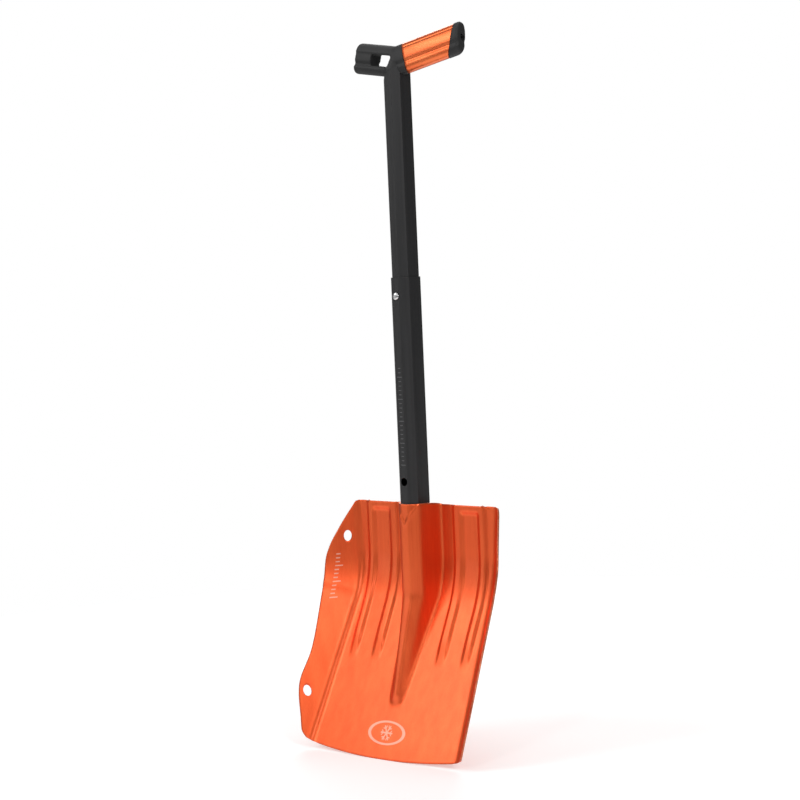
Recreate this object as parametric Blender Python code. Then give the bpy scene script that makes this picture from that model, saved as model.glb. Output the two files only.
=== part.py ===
"""Telescoping avalanche shovel: pressed blade, two-piece shaft and T-grip.

+Z runs up the shaft, -Y is the scooping side of the blade and +X is the
side of the metal grip sleeve.  Heights are measured from the blade's tip,
and depths from the shaft's middle plane until the last step, which stands
the finished shovel with the middle of its box over the origin.
"""
import math

import bmesh
import bpy
from mathutils import Matrix, Vector

MM = 0.001
GAP = 0.3 * MM                      # clearance between pieces that touch

# Blade sheet
SHEET = 2.0 * MM
BLADE_HEIGHT = 282 * MM
FLOOR_DEPTH = 18 * MM               # front of the floor behind the shaft's middle
BEND_START = 60 * MM                # below the top edge
BEND_RADIUS = 132 * MM
LIFT = math.radians(27)             # forward lean of the lower blade
TOP_EDGE_DROP = 3.2 * MM            # floor's top edge below the pocket's mouth
MOUTH_HALF_WIDTH = 17 * MM
TIP_RISE = 9 * MM                   # how much the cutting edge is bowed
CORNER_RADIUS = 9 * MM
FOLD_TOP = 105 * MM                 # half width to the wing fold, at three heights
FOLD_WAIST = 98 * MM
FOLD_BOTTOM = 109 * MM
FOLD_WAIST_DROP = 0.39 * BLADE_HEIGHT
FOLD_RADIUS = 13 * MM
FOLD_ANGLE = math.radians(52)
WING_LENGTH = 52 * MM               # before trimming
TRIM_ALLOWANCE = 30 * MM            # sheet left above and below the outline before trimming
WING_EDGE = ((15.2, 0.121), (26.3, 0.234), (27.5, 0.39), (20.9, 0.638), (21.5, 0.787),
             (12.7, 0.908))         # width beyond the fold in mm, share of the height
TIP_CORNER_OUT = 7.2 * MM           # wing's width left at the cutting edge
HOLE_SIZE = (9.5 * MM, 13 * MM)
WING_HOLES = ((9 * MM, 0.16 * BLADE_HEIGHT), (16.7 * MM, 0.8 * BLADE_HEIGHT))
WING_HOLE_REACH = 8 * MM

# Pressed relief of the blade
PANEL_INNER = 43 * MM
PANEL_OUTER = 85 * MM
PANEL_HEIGHT = 2.5 * MM
PANEL_STEP = 3 * MM
BEAD_INNER = 51 * MM
BEAD_OUTER = 79 * MM
BEAD_DEPTH = 2.3 * MM
BEAD_STEP = 3.7 * MM
BEAD_TOP = 10 * MM
RELIEF_FADE = (150 * MM, 184 * MM)
RIDGE_LEAN = math.radians(15)
RIDGE_END = 215 * MM
RIDGE_RUNOUT = 9 * MM
RIDGE_FOOT = 22 * MM
RIDGE_FOOT_END = 10 * MM
RIDGE_SHOULDER_END = 6.5 * MM
RIDGE_CREST_END = 3.5 * MM
RIDGE_SHOULDER_FALL = 0.45          # most of the ridge's height that its chamfer takes

# Shaft tubes
TUBE_WIDTH = 27 * MM
TUBE_DEPTH = 37 * MM
TUBE_FACE = 10 * MM                 # width of the narrow front and back faces
TUBE_WALL = 1.2 * MM
TUBE_CORNER = 2.6 * MM
SLIDE_GAP = 0.3 * MM
SOCKET_GAP = 0.5 * MM
SOCKET_DEPTH = 105 * MM
LOWER_TUBE_REACH = 257 * MM         # above the blade's top edge
BUTTON_REACH = 236 * MM
LENGTH_TRAVEL = 211 * MM
UPPER_TUBE_OVERLAP = 46 * MM        # below the length button
GRIP_REACH = 499 * MM
PLUG_DEPTH = 12 * MM
PLUG_FLANGE = 3 * MM

# Snap buttons and their springs
BUTTON_RADIUS = 4.2 * MM
BUTTON_HOLE_GAP = 0.4 * MM
BUTTON_PROUD = 2.4 * MM
BUTTON_BASE = (7.4 * MM, 12 * MM, 1.4 * MM)
SPRING_STRIP = (7 * MM, 0.7 * MM)
SPRING_LENGTH = 30 * MM
LOCK_DROP = 55 * MM                 # blade lock button below the top edge
HOLE_REACH = (8 * MM, 16 * MM)      # a wall hole's guide starts inside the tube and runs past it
BUTTON_DOME = (1.6 * MM, 0.4 * MM)  # height of the domed end, and of its crown
BUTTON_CROWN = (0.82, 0.4)          # shares of the radius at the dome's last two rings
SPRING_LEG = 8 * MM                 # straight under the button before the strip leans in
SPRING_BEND = 4 * MM

# Socket back plate
PLATE_SHEET = 2.0 * MM
PLATE_TOP = 8 * MM
PLATE_END = 122 * MM
PLATE_PAN = 11 * MM
PLATE_SHOULDER = 16 * MM
PLATE_HALF_WIDTH = 37 * MM

# Grip
LEFT_RAISE = math.radians(9.3)
RIGHT_RAISE = math.radians(11)
ARM_HEIGHT = 35 * MM
ARM_THICKNESS = 21.5 * MM
ARM_SLANT = 0.11
LEFT_ARM = 56 * MM
RIGHT_ARM = 82 * MM
CAP_LENGTH = 15.3 * MM
CAP_END = (math.radians(-10), math.radians(10))      # tilt and turn of its end face
CAP_SPIGOT = 8 * MM
CAP_ROUNDING = ((0.8 * MM, 0.8), (2.2 * MM, 0.94), (4.2 * MM, 1))     # inset, share of length
TENON_GAP = 4 * MM                  # between the core's tenon and the cap's spigot
SLEEVE_WALL = 1.8 * MM
SLEEVE_START = 13.8 * MM
SLEEVE_START_CUT = (math.radians(2), math.radians(26))
SLEEVE_END_CUT = (math.radians(-24), math.radians(30))
GROOVE_HEIGHT = -5.5 * MM
GROOVE_DEPTH = 1.5 * MM
GROOVE_WIDTH = 2.4 * MM
WAIST_HALF_HEIGHT = 7.5 * MM
WAIST_DEPTH = 1.3 * MM
WINDOW = (-31 * MM, -2 * MM, 6.3 * MM)
WINDOW_CORNER = 2 * MM
SPIGOT_LENGTH = 32 * MM
SQUARE = (0, 0)                     # a cut square to the arm
TAB_PEAK = (9.5 * MM, 6 * MM)       # right of the shaft's axis, and below the grip's axis
TAB_SLOPE = 0.65                    # of the upper tube's top edge, down to the left
SPIGOT_TAPER = 0.94
SPIGOT_TIP = (0.75, 0.55, 7 * MM)   # shares of its outline, and height above the grip's axis
SPIGOT_LEAD = 2 * MM
RIVET_DROP = 25 * MM                # below the grip's axis, above the retracted lower tube
RIVET_SHANK = 8 * MM                # behind the tube's back face, into the grip
RIVET_RADIUS = 2 * MM
RIVET_HEAD = (3.4 * MM, 1.3 * MM)
SCREW_RADIUS = 1.8 * MM
SCREW_HEAD = (3.6 * MM, 2.2 * MM)
SCREW_SETBACK = 1 * MM              # head's sink below the cap's end
SCREW_BITE = 9 * MM
SCREW_LENGTH = CAP_LENGTH + CAP_SPIGOT + TENON_GAP + SCREW_BITE - SCREW_SETBACK
SCREW_HOLE_END = 1 * MM
SCREW_SOCKET = (1.5 * MM, 1.3 * MM)


# ---------------------------------------------------------------- helpers

def clear_scene():
    for item in list(bpy.data.objects):
        bpy.data.objects.remove(item, do_unlink=True)


def finish(name, colour, roughness, metallic):
    material = bpy.data.materials.new(name)
    material.use_nodes = True
    shader = material.node_tree.nodes["Principled BSDF"]
    shader.inputs["Base Color"].default_value = (*colour, 1)
    shader.inputs["Roughness"].default_value = roughness
    shader.inputs["Metallic"].default_value = metallic
    return material


def add_object(name, points, faces, look=None):
    mesh = bpy.data.meshes.new(name)
    mesh.from_pydata([tuple(p) for p in points], [], faces)
    mesh.validate()
    mesh.shade_smooth()
    mesh.set_sharp_from_angle(angle=math.radians(30))
    if look:
        mesh.materials.append(finish(f"{name}_finish", *look))
    item = bpy.data.objects.new(name, mesh)
    bpy.context.collection.objects.link(item)
    return item


def loft(name, rings, look=None):
    """A closed solid through rings that all have the same number of points."""
    count = len(rings[0])
    points = [p for ring in rings for p in ring]
    faces = [tuple(reversed(range(count)))]
    for row in range(len(rings) - 1):
        low = row * count
        for i in range(count):
            j = (i + 1) % count
            faces.append((low + i, low + j, low + count + j, low + count + i))
    faces.append(tuple(range((len(rings) - 1) * count, len(rings) * count)))
    item = add_object(name, points, faces, look)
    face_outward(item)
    return item


def face_outward(item):
    shape = bmesh.new()
    shape.from_mesh(item.data)
    bmesh.ops.recalc_face_normals(shape, faces=shape.faces)
    shape.to_mesh(item.data)
    shape.free()


def hollow(name, outer, inner, low, high, look):
    """A straight tube between two heights, from its outer and inner outlines."""
    count = len(outer)
    points = []
    for z in (low, high):
        points += [(x, y, z) for x, y in outer]
        points += [(x, y, z) for x, y in inner]
    faces = []
    for i in range(count):
        j = (i + 1) % count
        faces.append((i, j, 2 * count + j, 2 * count + i))
        faces.append((count + j, count + i, 3 * count + i, 3 * count + j))
        faces.append((j, i, count + i, count + j))
        faces.append((2 * count + i, 2 * count + j, 3 * count + j, 3 * count + i))
    item = add_object(name, points, faces, look)
    face_outward(item)
    return item


def combine(item, tool, operation):
    """Adds, cuts or keeps only the overlap with a guide solid, which stays hidden."""
    modifier = item.modifiers.new(tool.name, 'BOOLEAN')
    modifier.operation = operation
    modifier.solver = 'EXACT'
    modifier.object = tool
    tool.hide_render = True
    tool.display_type = 'WIRE'


def rod(name, radii, start, direction, stations, look=None, sides=20, stretch=(1, 1)):
    """A turned piece: one radius for each distance along its direction."""
    along = Vector(direction).normalized()
    across = Vector((1, 0, 0)) if abs(along.x) < 0.5 else Vector((0, 1, 0))
    across = (across - along * across.dot(along)).normalized()
    upward = along.cross(across)
    rings = []
    for radius, distance in zip(radii, stations):
        middle = Vector(start) + along * distance
        ring = []
        for i in range(sides):
            turn = 2 * math.pi * i / sides
            ring.append(middle + across * radius * stretch[0] * math.cos(turn)
                        + upward * radius * stretch[1] * math.sin(turn))
        rings.append(ring)
    return loft(name, rings, look)


def round_corners(corners, radius, steps):
    """A closed outline with each corner replaced by an arc of the radius."""
    outline = []
    for i, corner in enumerate(corners):
        here = Vector(corner)
        before = (Vector(corners[i - 1]) - here).normalized()
        after = (Vector(corners[(i + 1) % len(corners)]) - here).normalized()
        half = before.angle(after) / 2
        reach = radius / math.tan(half)
        centre = here + (before + after).normalized() * radius / math.sin(half)
        first = here + before * reach - centre
        last = here + after * reach - centre
        for step in range(steps + 1):
            mix = first.lerp(last, step / steps)
            outline.append(tuple(centre + mix.normalized() * radius))
    return outline


# ------------------------------------------------------------ shaft outline

def tube_outline(inset, steps=3):
    """The shaft's eight-sided outline, moved inward by a distance."""
    half_width = TUBE_WIDTH / 2 - inset
    half_depth = TUBE_DEPTH / 2 - inset
    diagonal = (TUBE_DEPTH + TUBE_FACE) / 2 - inset * math.sqrt(2)
    face = diagonal - half_depth
    side = diagonal - half_width
    corners = [(face, -half_depth), (half_width, -side), (half_width, side), (face, half_depth),
               (-face, half_depth), (-half_width, side), (-half_width, -side), (-face, -half_depth)]
    return round_corners(corners, max(TUBE_CORNER - inset, 0.6 * MM), steps)


UPPER_INSET = TUBE_WALL + SLIDE_GAP          # upper tube's outside, from the lower tube's
BLADE_TOP = BLADE_HEIGHT
SOCKET_FLOOR = BLADE_TOP - SOCKET_DEPTH
BUTTON_HEIGHT = BLADE_TOP + BUTTON_REACH
LOCK_HEIGHT = BLADE_TOP - LOCK_DROP
GRIP_HEIGHT = BLADE_TOP + GRIP_REACH
UPPER_TUBE_FOOT = BUTTON_HEIGHT - UPPER_TUBE_OVERLAP


def level(outline, height):
    return [(x, y, height) for x, y in outline]


# ------------------------------------------------------------------- blade

def floor_depth(drop):
    """Depth of the floor's front face at a distance below the top edge."""
    bend_length = BEND_RADIUS * math.sin(LIFT)
    into = min(max(drop - BEND_START, 0), bend_length)
    depth = FLOOR_DEPTH - (BEND_RADIUS - math.sqrt(BEND_RADIUS ** 2 - into ** 2))
    return depth - max(drop - BEND_START - bend_length, 0) * math.tan(LIFT)


def floor_lean(drop):
    into = min(max(drop - BEND_START, 0), BEND_RADIUS * math.sin(LIFT))
    return math.asin(into / BEND_RADIUS)


def fold_place(drop):
    """Half width at which the wing's fold would be sharp."""
    if drop < FOLD_WAIST_DROP:
        share = max(drop, 0) / FOLD_WAIST_DROP
        return FOLD_TOP + (FOLD_WAIST - FOLD_TOP) * math.sin(share * math.pi / 2)
    share = (drop - FOLD_WAIST_DROP) / (BLADE_HEIGHT - FOLD_WAIST_DROP)
    return FOLD_WAIST + (FOLD_BOTTOM - FOLD_WAIST) * share


def relief_share(drop):
    """1 where the pressed panels are at full height, 0 where they have run out."""
    start, end = RELIEF_FADE
    share = min(max((end - drop) / (end - start), 0), 1)
    return share * share * (3 - 2 * share)


def ridge_height(drop):
    """How far the shaft's pocket and the ridge below it stand before the floor."""
    pocket = TUBE_DEPTH / 2 + SOCKET_GAP + SHEET
    crest = -pocket - max(drop - SOCKET_DEPTH, 0) * math.tan(RIDGE_LEAN)
    runout = min(max((RIDGE_END + RIDGE_RUNOUT - drop) / RIDGE_RUNOUT, 0), 1)
    return (floor_depth(drop) - crest) * runout


def ridge_section(drop):
    """Half widths of the ridge's crest, shoulder and foot, and its shoulder's drop."""
    share = min(max((drop - SOCKET_DEPTH) / (RIDGE_END - SOCKET_DEPTH), 0), 1)
    skin = SOCKET_GAP + SHEET
    crest = TUBE_FACE / 2 + skin * math.tan(math.pi / 8)
    shoulder = TUBE_WIDTH / 2 + skin
    fall = shoulder - crest
    crest += (RIDGE_CREST_END - crest) * share
    shoulder += (RIDGE_SHOULDER_END - shoulder) * share
    foot = RIDGE_FOOT + (RIDGE_FOOT_END - RIDGE_FOOT) * share
    return crest, shoulder, foot, min(fall, RIDGE_SHOULDER_FALL * ridge_height(drop))


def blade_section(drop):
    """Half section of the blade's front: half width, rise off the floor, and whether it
    belongs to the ridge, which rises square to the shaft."""
    crest, shoulder, foot, fall = ridge_section(drop)
    height = ridge_height(drop)
    fade = relief_share(drop)
    bead = min(max((drop - BEAD_TOP) / BEAD_STEP, 0), 1) * BEAD_DEPTH
    panel = PANEL_HEIGHT * fade
    sunk = (PANEL_HEIGHT - bead) * fade
    section = [(0, height, True), (crest, height, True), (shoulder, height - fall, True),
               (foot, 0, True),
               (PANEL_INNER - PANEL_STEP, 0, False), (PANEL_INNER, panel, False),
               (BEAD_INNER, panel, False), (BEAD_INNER + BEAD_STEP, sunk, False),
               (BEAD_OUTER - BEAD_STEP, sunk, False), (BEAD_OUTER, panel, False),
               (PANEL_OUTER, panel, False), (PANEL_OUTER + PANEL_STEP, 0, False)]
    start = fold_place(drop) - FOLD_RADIUS * math.tan(FOLD_ANGLE / 2)
    steps = 5
    for i in range(steps + 1):
        turn = FOLD_ANGLE * i / steps
        section.append((start + FOLD_RADIUS * math.sin(turn),
                        FOLD_RADIUS * (1 - math.cos(turn)), False))
    edge, rise, _ = section[-1]
    section.append((edge + WING_LENGTH * math.cos(FOLD_ANGLE),
                    rise + WING_LENGTH * math.sin(FOLD_ANGLE), False))
    return section


def blade_point(drop, across, rise, on_ridge):
    lean = 0 if on_ridge else floor_lean(drop)
    depth = floor_depth(drop) - rise * math.cos(lean)
    return across, depth, BLADE_TOP - drop + rise * math.sin(lean)


def blade_drops():
    """Heights of the rows of the blade's sheet, closer together where the shape changes."""
    drops = [-TRIM_ALLOWANCE, 0, BEAD_TOP, BEAD_TOP + BEAD_STEP, 35 * MM]
    drops += [BEND_START + step * 12 * MM for step in range(0, 6)]
    drops += [RELIEF_FADE[0] + (RELIEF_FADE[1] - RELIEF_FADE[0]) * step / 4 for step in range(5)]
    drops += [RIDGE_END - 15 * MM, RIDGE_END, RIDGE_END + RIDGE_RUNOUT / 2,
              RIDGE_END + RIDGE_RUNOUT, BLADE_HEIGHT + TRIM_ALLOWANCE]
    return sorted(drops)


def wing_outline():
    """Right half of the blade's outline seen from the front, as half widths and drops."""
    knots = [Vector((FOLD_TOP, TOP_EDGE_DROP))]
    for out, share in WING_EDGE:
        drop = share * BLADE_HEIGHT
        knots.append(Vector((fold_place(drop) + out * MM, drop)))
    corner = Vector((FOLD_BOTTOM + TIP_CORNER_OUT, BLADE_HEIGHT - TIP_RISE))
    knots.append(corner)
    outline = [Vector((0, 0)), Vector((MOUTH_HALF_WIDTH, 0)),
               Vector((RIDGE_FOOT + 4 * MM, TOP_EDGE_DROP)), knots[0]]
    for i in range(len(knots) - 2):
        before = knots[max(i - 1, 0)]
        start, end, after = knots[i], knots[i + 1], knots[i + 2]
        for step in (0.34, 0.67, 1):
            slope_in = (end - before) / 2
            slope_out = (after - start) / 2
            a, b = step * step * (3 - 2 * step), step * (1 - step)
            outline.append(start.lerp(end, a) + slope_in * b * (1 - step) - slope_out * b * step)
    outline.append(corner - Vector((0.25 * CORNER_RADIUS, CORNER_RADIUS)) * 0.5
                   + Vector((1.2 * MM, 0)))
    for i in range(9):
        across = (corner.x - CORNER_RADIUS * 0.6) * (1 - i / 8)
        outline.append(Vector((across, BLADE_HEIGHT - TIP_RISE * (across / corner.x) ** 2)))
    return outline


def make_blade(look):
    drops = blade_drops()
    points = []
    for drop in drops:
        half = blade_section(drop)
        left = [(-x, rise, ridge) for x, rise, ridge in reversed(half[1:])]
        points += [blade_point(drop, *entry) for entry in left + half]
    count = len(points) // len(drops)
    faces = []
    for row in range(len(drops) - 1):
        for i in range(row * count, row * count + count - 1):
            faces.append((i, i + 1, i + count + 1, i + count))
    blade = add_object("blade", points, faces, look)
    thicken = blade.modifiers.new("sheet", 'SOLIDIFY')
    thicken.thickness = SHEET
    thicken.offset = 1 if blade.data.polygons[0].normal.y > 0 else -1
    thicken.use_even_offset = True

    half = wing_outline()
    outline = half + [Vector((-p.x, p.y)) for p in reversed(half[1:-1])]
    reach = BLADE_HEIGHT
    rings = [[(p.x, y, BLADE_TOP - p.y) for p in outline] for y in (-reach, reach)]
    combine(blade, loft("blade_outline_guide", rings), 'INTERSECT')
    for side in (-1, 1):
        for number, (out, drop) in enumerate(WING_HOLES):
            combine(blade, wing_hole(side, number, out, drop), 'DIFFERENCE')
    return blade


def wing_hole(side, number, out, drop):
    section = blade_section(drop)
    foot_x, foot_rise, _ = section[-2]
    across = side * (foot_x + out * math.cos(FOLD_ANGLE))
    rise = foot_rise + out * math.sin(FOLD_ANGLE)
    middle = Vector(blade_point(drop, across, rise, False))
    lean = floor_lean(drop)
    normal = Vector((side * math.sin(FOLD_ANGLE), math.cos(FOLD_ANGLE) * math.cos(lean),
                     -math.cos(FOLD_ANGLE) * math.sin(lean)))
    name = f"wing_hole_{'left' if side < 0 else 'right'}_{number}"
    stretch = (HOLE_SIZE[0] / 2, HOLE_SIZE[1] / 2)
    return rod(name, (1, 1), middle - normal * WING_HOLE_REACH, normal, (0, 2 * WING_HOLE_REACH),
               sides=16, stretch=stretch)


# ------------------------------------------------------- socket back plate

def make_back_plate(look):
    """Closes the pocket behind the shaft: a pan along the shaft, flanges on the floor."""
    pan = TUBE_DEPTH / 2 + SOCKET_GAP
    drops = [PLATE_TOP, BEND_START] + [BEND_START + step * 10 * MM for step in range(1, 5)]
    drops += [SOCKET_DEPTH + 4 * MM, PLATE_END]
    points = []
    for drop in drops:
        flange = floor_depth(drop) + SHEET / math.cos(floor_lean(drop)) + GAP
        middle = pan if drop < PLATE_END else flange + 0.5 * MM
        half = [(0, middle), (PLATE_PAN, middle), (PLATE_SHOULDER, flange),
                (PLATE_HALF_WIDTH, flange)]
        section = [(-x, y) for x, y in reversed(half[1:])] + half
        points += [(x, y, BLADE_TOP - drop) for x, y in section]
    count = len(points) // len(drops)
    faces = []
    for row in range(len(drops) - 1):
        for i in range(row * count, row * count + count - 1):
            faces.append((i, i + 1, i + count + 1, i + count))
    plate = add_object("socket_back_plate", points, faces, look)
    thicken = plate.modifiers.new("sheet", 'SOLIDIFY')
    thicken.thickness = PLATE_SHEET
    thicken.offset = 1 if plate.data.polygons[0].normal.y > 0 else -1
    thicken.use_even_offset = True
    pan_back = pan + PLATE_SHEET
    hole = rod("lock_hole", (BUTTON_RADIUS + BUTTON_HOLE_GAP,) * 2,
               (0, pan_back - 6 * MM, LOCK_HEIGHT), (0, 1, 0), (0, 12 * MM))
    combine(plate, hole, 'DIFFERENCE')
    return plate


# ------------------------------------------------------------------- shaft

def button_hole(name, height, facing):
    """A guide through the front (-1) or back (1) wall of both tubes."""
    start, length = HOLE_REACH
    return rod(name, (BUTTON_RADIUS + BUTTON_HOLE_GAP,) * 2, (0, start * facing, height),
               (0, facing, 0), (0, length))


def make_lower_tube(look):
    tube = hollow("lower_shaft_tube", tube_outline(0), tube_outline(TUBE_WALL), SOCKET_FLOOR,
                  BLADE_TOP + LOWER_TUBE_REACH, look)
    combine(tube, button_hole("long_setting_hole", BUTTON_HEIGHT, -1), 'DIFFERENCE')
    combine(tube, button_hole("short_setting_hole", BUTTON_HEIGHT - LENGTH_TRAVEL, -1),
            'DIFFERENCE')
    combine(tube, button_hole("lock_button_hole", LOCK_HEIGHT, 1), 'DIFFERENCE')
    return tube


def make_end_plug(name, inset, foot, look):
    """A moulded plug in a tube's lower end: its flange sits below the tube."""
    flange = tube_outline(inset)
    core = tube_outline(inset + TUBE_WALL + GAP)
    rings = [level(tube_outline(inset + 0.8 * MM), foot - GAP - PLUG_FLANGE),
             level(flange, foot - GAP - PLUG_FLANGE + 0.8 * MM),
             level(flange, foot - GAP), level(core, foot - GAP),
             level(core, foot - GAP + PLUG_DEPTH)]
    return loft(name, rings, look)


def make_upper_tube(look):
    peak, drop = TAB_PEAK
    apex = GRIP_HEIGHT - drop
    tube = hollow("upper_shaft_tube", tube_outline(UPPER_INSET),
                  tube_outline(UPPER_INSET + TUBE_WALL), UPPER_TUBE_FOOT, apex, look)
    combine(tube, button_hole("length_button_hole", BUTTON_HEIGHT, -1), 'DIFFERENCE')
    wedge = [(peak, apex), (-TUBE_WIDTH, apex - (peak + TUBE_WIDTH) * TAB_SLOPE),
             (-TUBE_WIDTH, apex + TUBE_WIDTH), (peak, apex + TUBE_WIDTH)]
    rings = [[(x, y, z) for x, z in wedge] for y in (-TUBE_DEPTH, TUBE_DEPTH)]
    combine(tube, loft("tab_slope_cut", rings), 'DIFFERENCE')
    combine(tube, grip_body("grip_saddle", GAP), 'DIFFERENCE')
    combine(tube, rivet_hole("tube_rivet_hole"), 'DIFFERENCE')
    return tube


def make_button(name, inset, height, facing, cover, look):
    """A snap button: its domed head stands proud of the lower tube and what covers it."""
    wall = (TUBE_DEPTH / 2 - inset - TUBE_WALL) * facing
    top = (TUBE_DEPTH / 2 + cover + BUTTON_PROUD) * facing
    width, tall, thick = BUTTON_BASE
    dome, crown = BUTTON_DOME
    length = abs(top - wall) + GAP + thick / 2
    radii = (1, 1, *BUTTON_CROWN)
    head = rod(name, [BUTTON_RADIUS * share for share in radii],
               (0, wall - (GAP + thick / 2) * facing, height), (0, facing, 0),
               (0, length - dome, length - crown, length), look)
    back = wall - (GAP + thick) * facing
    front = wall - GAP * facing
    rings = [[(x, y, z) for x, z in ((-width / 2, height - tall / 2), (width / 2, height - tall / 2),
                                     (width / 2, height + tall / 2), (-width / 2, height + tall / 2))]
             for y in (back, front)]
    combine(head, loft(f"{name}_base", rings), 'UNION')
    return head


def make_button_spring(name, inset, height, facing, look):
    """A hairpin of spring strip that pushes the button's base against the wall."""
    width, strip = SPRING_STRIP
    wall = TUBE_DEPTH / 2 - inset - TUBE_WALL
    start = wall - 2 * GAP - BUTTON_BASE[2] - strip / 2
    end = wall - 2 * GAP - strip / 2
    top = height + BUTTON_BASE[1] / 2
    bend = height - SPRING_LENGTH
    path = [(start, top), (start, height - SPRING_LEG)]
    radius = SPRING_BEND
    for step in range(7):
        turn = math.pi * step / 6
        path.append((radius * math.cos(turn), bend + radius - radius * math.sin(turn)))
    path += [(-end, height - SPRING_LEG), (-end, top)]
    rings = []
    for i, (y, z) in enumerate(path):
        before = Vector(path[max(i - 1, 0)])
        after = Vector(path[min(i + 1, len(path) - 1)])
        along = (after - before).normalized()
        off = Vector((-along.y, along.x)) * strip / 2
        rings.append([(-width / 2, facing * (y + off.x), z + off.y),
                      (width / 2, facing * (y + off.x), z + off.y),
                      (width / 2, facing * (y - off.x), z - off.y),
                      (-width / 2, facing * (y - off.x), z - off.y)])
    return loft(name, rings, look)


# -------------------------------------------------------------------- grip

def grip_outline(outset, waisted, points=32):
    """Section of the grip as (depth, height): an oval with a groove near its foot on the
    sleeved arm, or a wide waist on the bare arm.  It leans, foot forward."""
    power = 2 / 2.5
    outline = []
    for i in range(points):
        turn = 2 * math.pi * (i + 0.5) / points
        c, s = math.cos(turn), math.sin(turn)
        y = ARM_THICKNESS / 2 * math.copysign(abs(c) ** power, c)
        z = ARM_HEIGHT / 2 * math.copysign(abs(s) ** power, s)
        y -= math.copysign(GROOVE_DEPTH * math.exp(-((z - GROOVE_HEIGHT) / GROOVE_WIDTH) ** 2), y)
        dent = 1 / (1 + math.exp((abs(z) - WAIST_HALF_HEIGHT) / (0.5 * MM)))
        y -= math.copysign(WAIST_DEPTH * waisted * dent, y)
        outline.append(Vector((y + ARM_SLANT * z, z)))
    moved = []
    for i, point in enumerate(outline):
        along = (outline[(i + 1) % points] - outline[i - 1]).normalized()
        moved.append(point + Vector((along.y, -along.x)) * outset)
    return moved


def arm_ring(outline, along, cut, side):
    """The outline placed across an arm, at a distance from the shaft's axis, on a plane
    that tilts with height and turns with depth."""
    tilt, yaw = cut
    turn = LEFT_RAISE if side < 0 else RIGHT_RAISE
    ring = []
    for y, z in outline:
        distance = along - z * math.tan(tilt) - y * math.tan(yaw)
        x = side * (distance * math.cos(turn) - z * math.sin(turn))
        ring.append((x, y, GRIP_HEIGHT + distance * math.sin(turn) + z * math.cos(turn)))
    return ring


def mitre_ring(outline):
    """The outline where both arms meet, in the shaft's middle plane."""
    spread = (LEFT_RAISE + RIGHT_RAISE) / 2
    lean = (RIGHT_RAISE - LEFT_RAISE) / 2
    reach = 1 / math.cos(spread)
    return [(-z * reach * math.sin(lean), y, GRIP_HEIGHT + z * reach * math.cos(lean))
            for y, z in outline]


def grip_body(name, outset, look=None):
    """Bare arm, hub, and the arm up to the sleeve's shoulder and on inside the sleeve."""
    plain = grip_outline(outset, 0)
    bare = grip_outline(outset, 1)
    small = grip_outline(outset - 2 * MM, 1)
    rings = [arm_ring(small, LEFT_ARM + outset, SQUARE, -1),
             arm_ring(bare, LEFT_ARM - 2 * MM, SQUARE, -1), arm_ring(bare, 6 * MM, SQUARE, -1),
             mitre_ring(plain),
             arm_ring(plain, SLEEVE_START + outset, SLEEVE_START_CUT, 1)]
    if outset:
        rings.append(arm_ring(plain, RIGHT_ARM, SQUARE, 1))
    else:
        tenon = grip_outline(-SLEEVE_WALL - GAP, 0)
        rings.append(arm_ring(tenon, SLEEVE_START, SLEEVE_START_CUT, 1))
        rings.append(arm_ring(tenon, RIGHT_ARM - CAP_SPIGOT - TENON_GAP, SLEEVE_END_CUT, 1))
    return loft(name, rings, look)


def make_grip_core(look):
    core = grip_body("grip_core", 0, look)
    inner = tube_outline(UPPER_INSET + TUBE_WALL + GAP)
    narrow, flat, peak = SPIGOT_TIP
    tip = [(x * narrow, y * flat) for x, y in inner]
    foot = GRIP_HEIGHT - ARM_HEIGHT / 2 - SPIGOT_LENGTH
    rings = [level([(x * SPIGOT_TAPER, y * SPIGOT_TAPER) for x, y in inner], foot),
             level(inner, foot + SPIGOT_LEAD),
             level(inner, GRIP_HEIGHT - TAB_PEAK[1] - SPIGOT_LEAD), level(tip, GRIP_HEIGHT + peak)]
    combine(core, loft("grip_spigot", rings), 'UNION')
    left, right, half = WINDOW
    sides = [(left, -half), (right, -half), (right, half), (left, half)]
    outline = round_corners(sides, WINDOW_CORNER, 2)
    rings = []
    for y in (-ARM_HEIGHT, ARM_HEIGHT):
        rings.append([(x * math.cos(LEFT_RAISE) + z * math.sin(LEFT_RAISE), y,
                       GRIP_HEIGHT - x * math.sin(LEFT_RAISE) + z * math.cos(LEFT_RAISE))
                      for x, z in outline])
    combine(core, loft("grip_window", rings), 'DIFFERENCE')
    combine(core, rivet_hole("core_rivet_hole"), 'DIFFERENCE')
    combine(core, cap_screw_hole("core_screw_hole", GAP), 'DIFFERENCE')
    return core


def make_grip_sleeve(look):
    outer = grip_outline(0, 0)
    inner = grip_outline(-SLEEVE_WALL, 0)
    start = (SLEEVE_START + GAP, SLEEVE_START_CUT, 1)
    end = (RIGHT_ARM, SLEEVE_END_CUT, 1)
    rings = [arm_ring(outer, *start), arm_ring(outer, *end),
             arm_ring(inner, *end), arm_ring(inner, *start)]
    count = len(outer)
    faces = []
    for row in range(4):
        for i in range(count):
            j = (i + 1) % count
            low, high = row * count, (row + 1) % 4 * count
            faces.append((low + i, low + j, high + j, high + i))
    sleeve = add_object("grip_sleeve", [p for ring in rings for p in ring], faces, look)
    face_outward(sleeve)
    return sleeve


def cap_cut(share):
    """A plane between the cap's joint with the sleeve (0) and its end face (1)."""
    return [start + (end - start) * share for start, end in zip(SLEEVE_END_CUT, CAP_END)]


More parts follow.
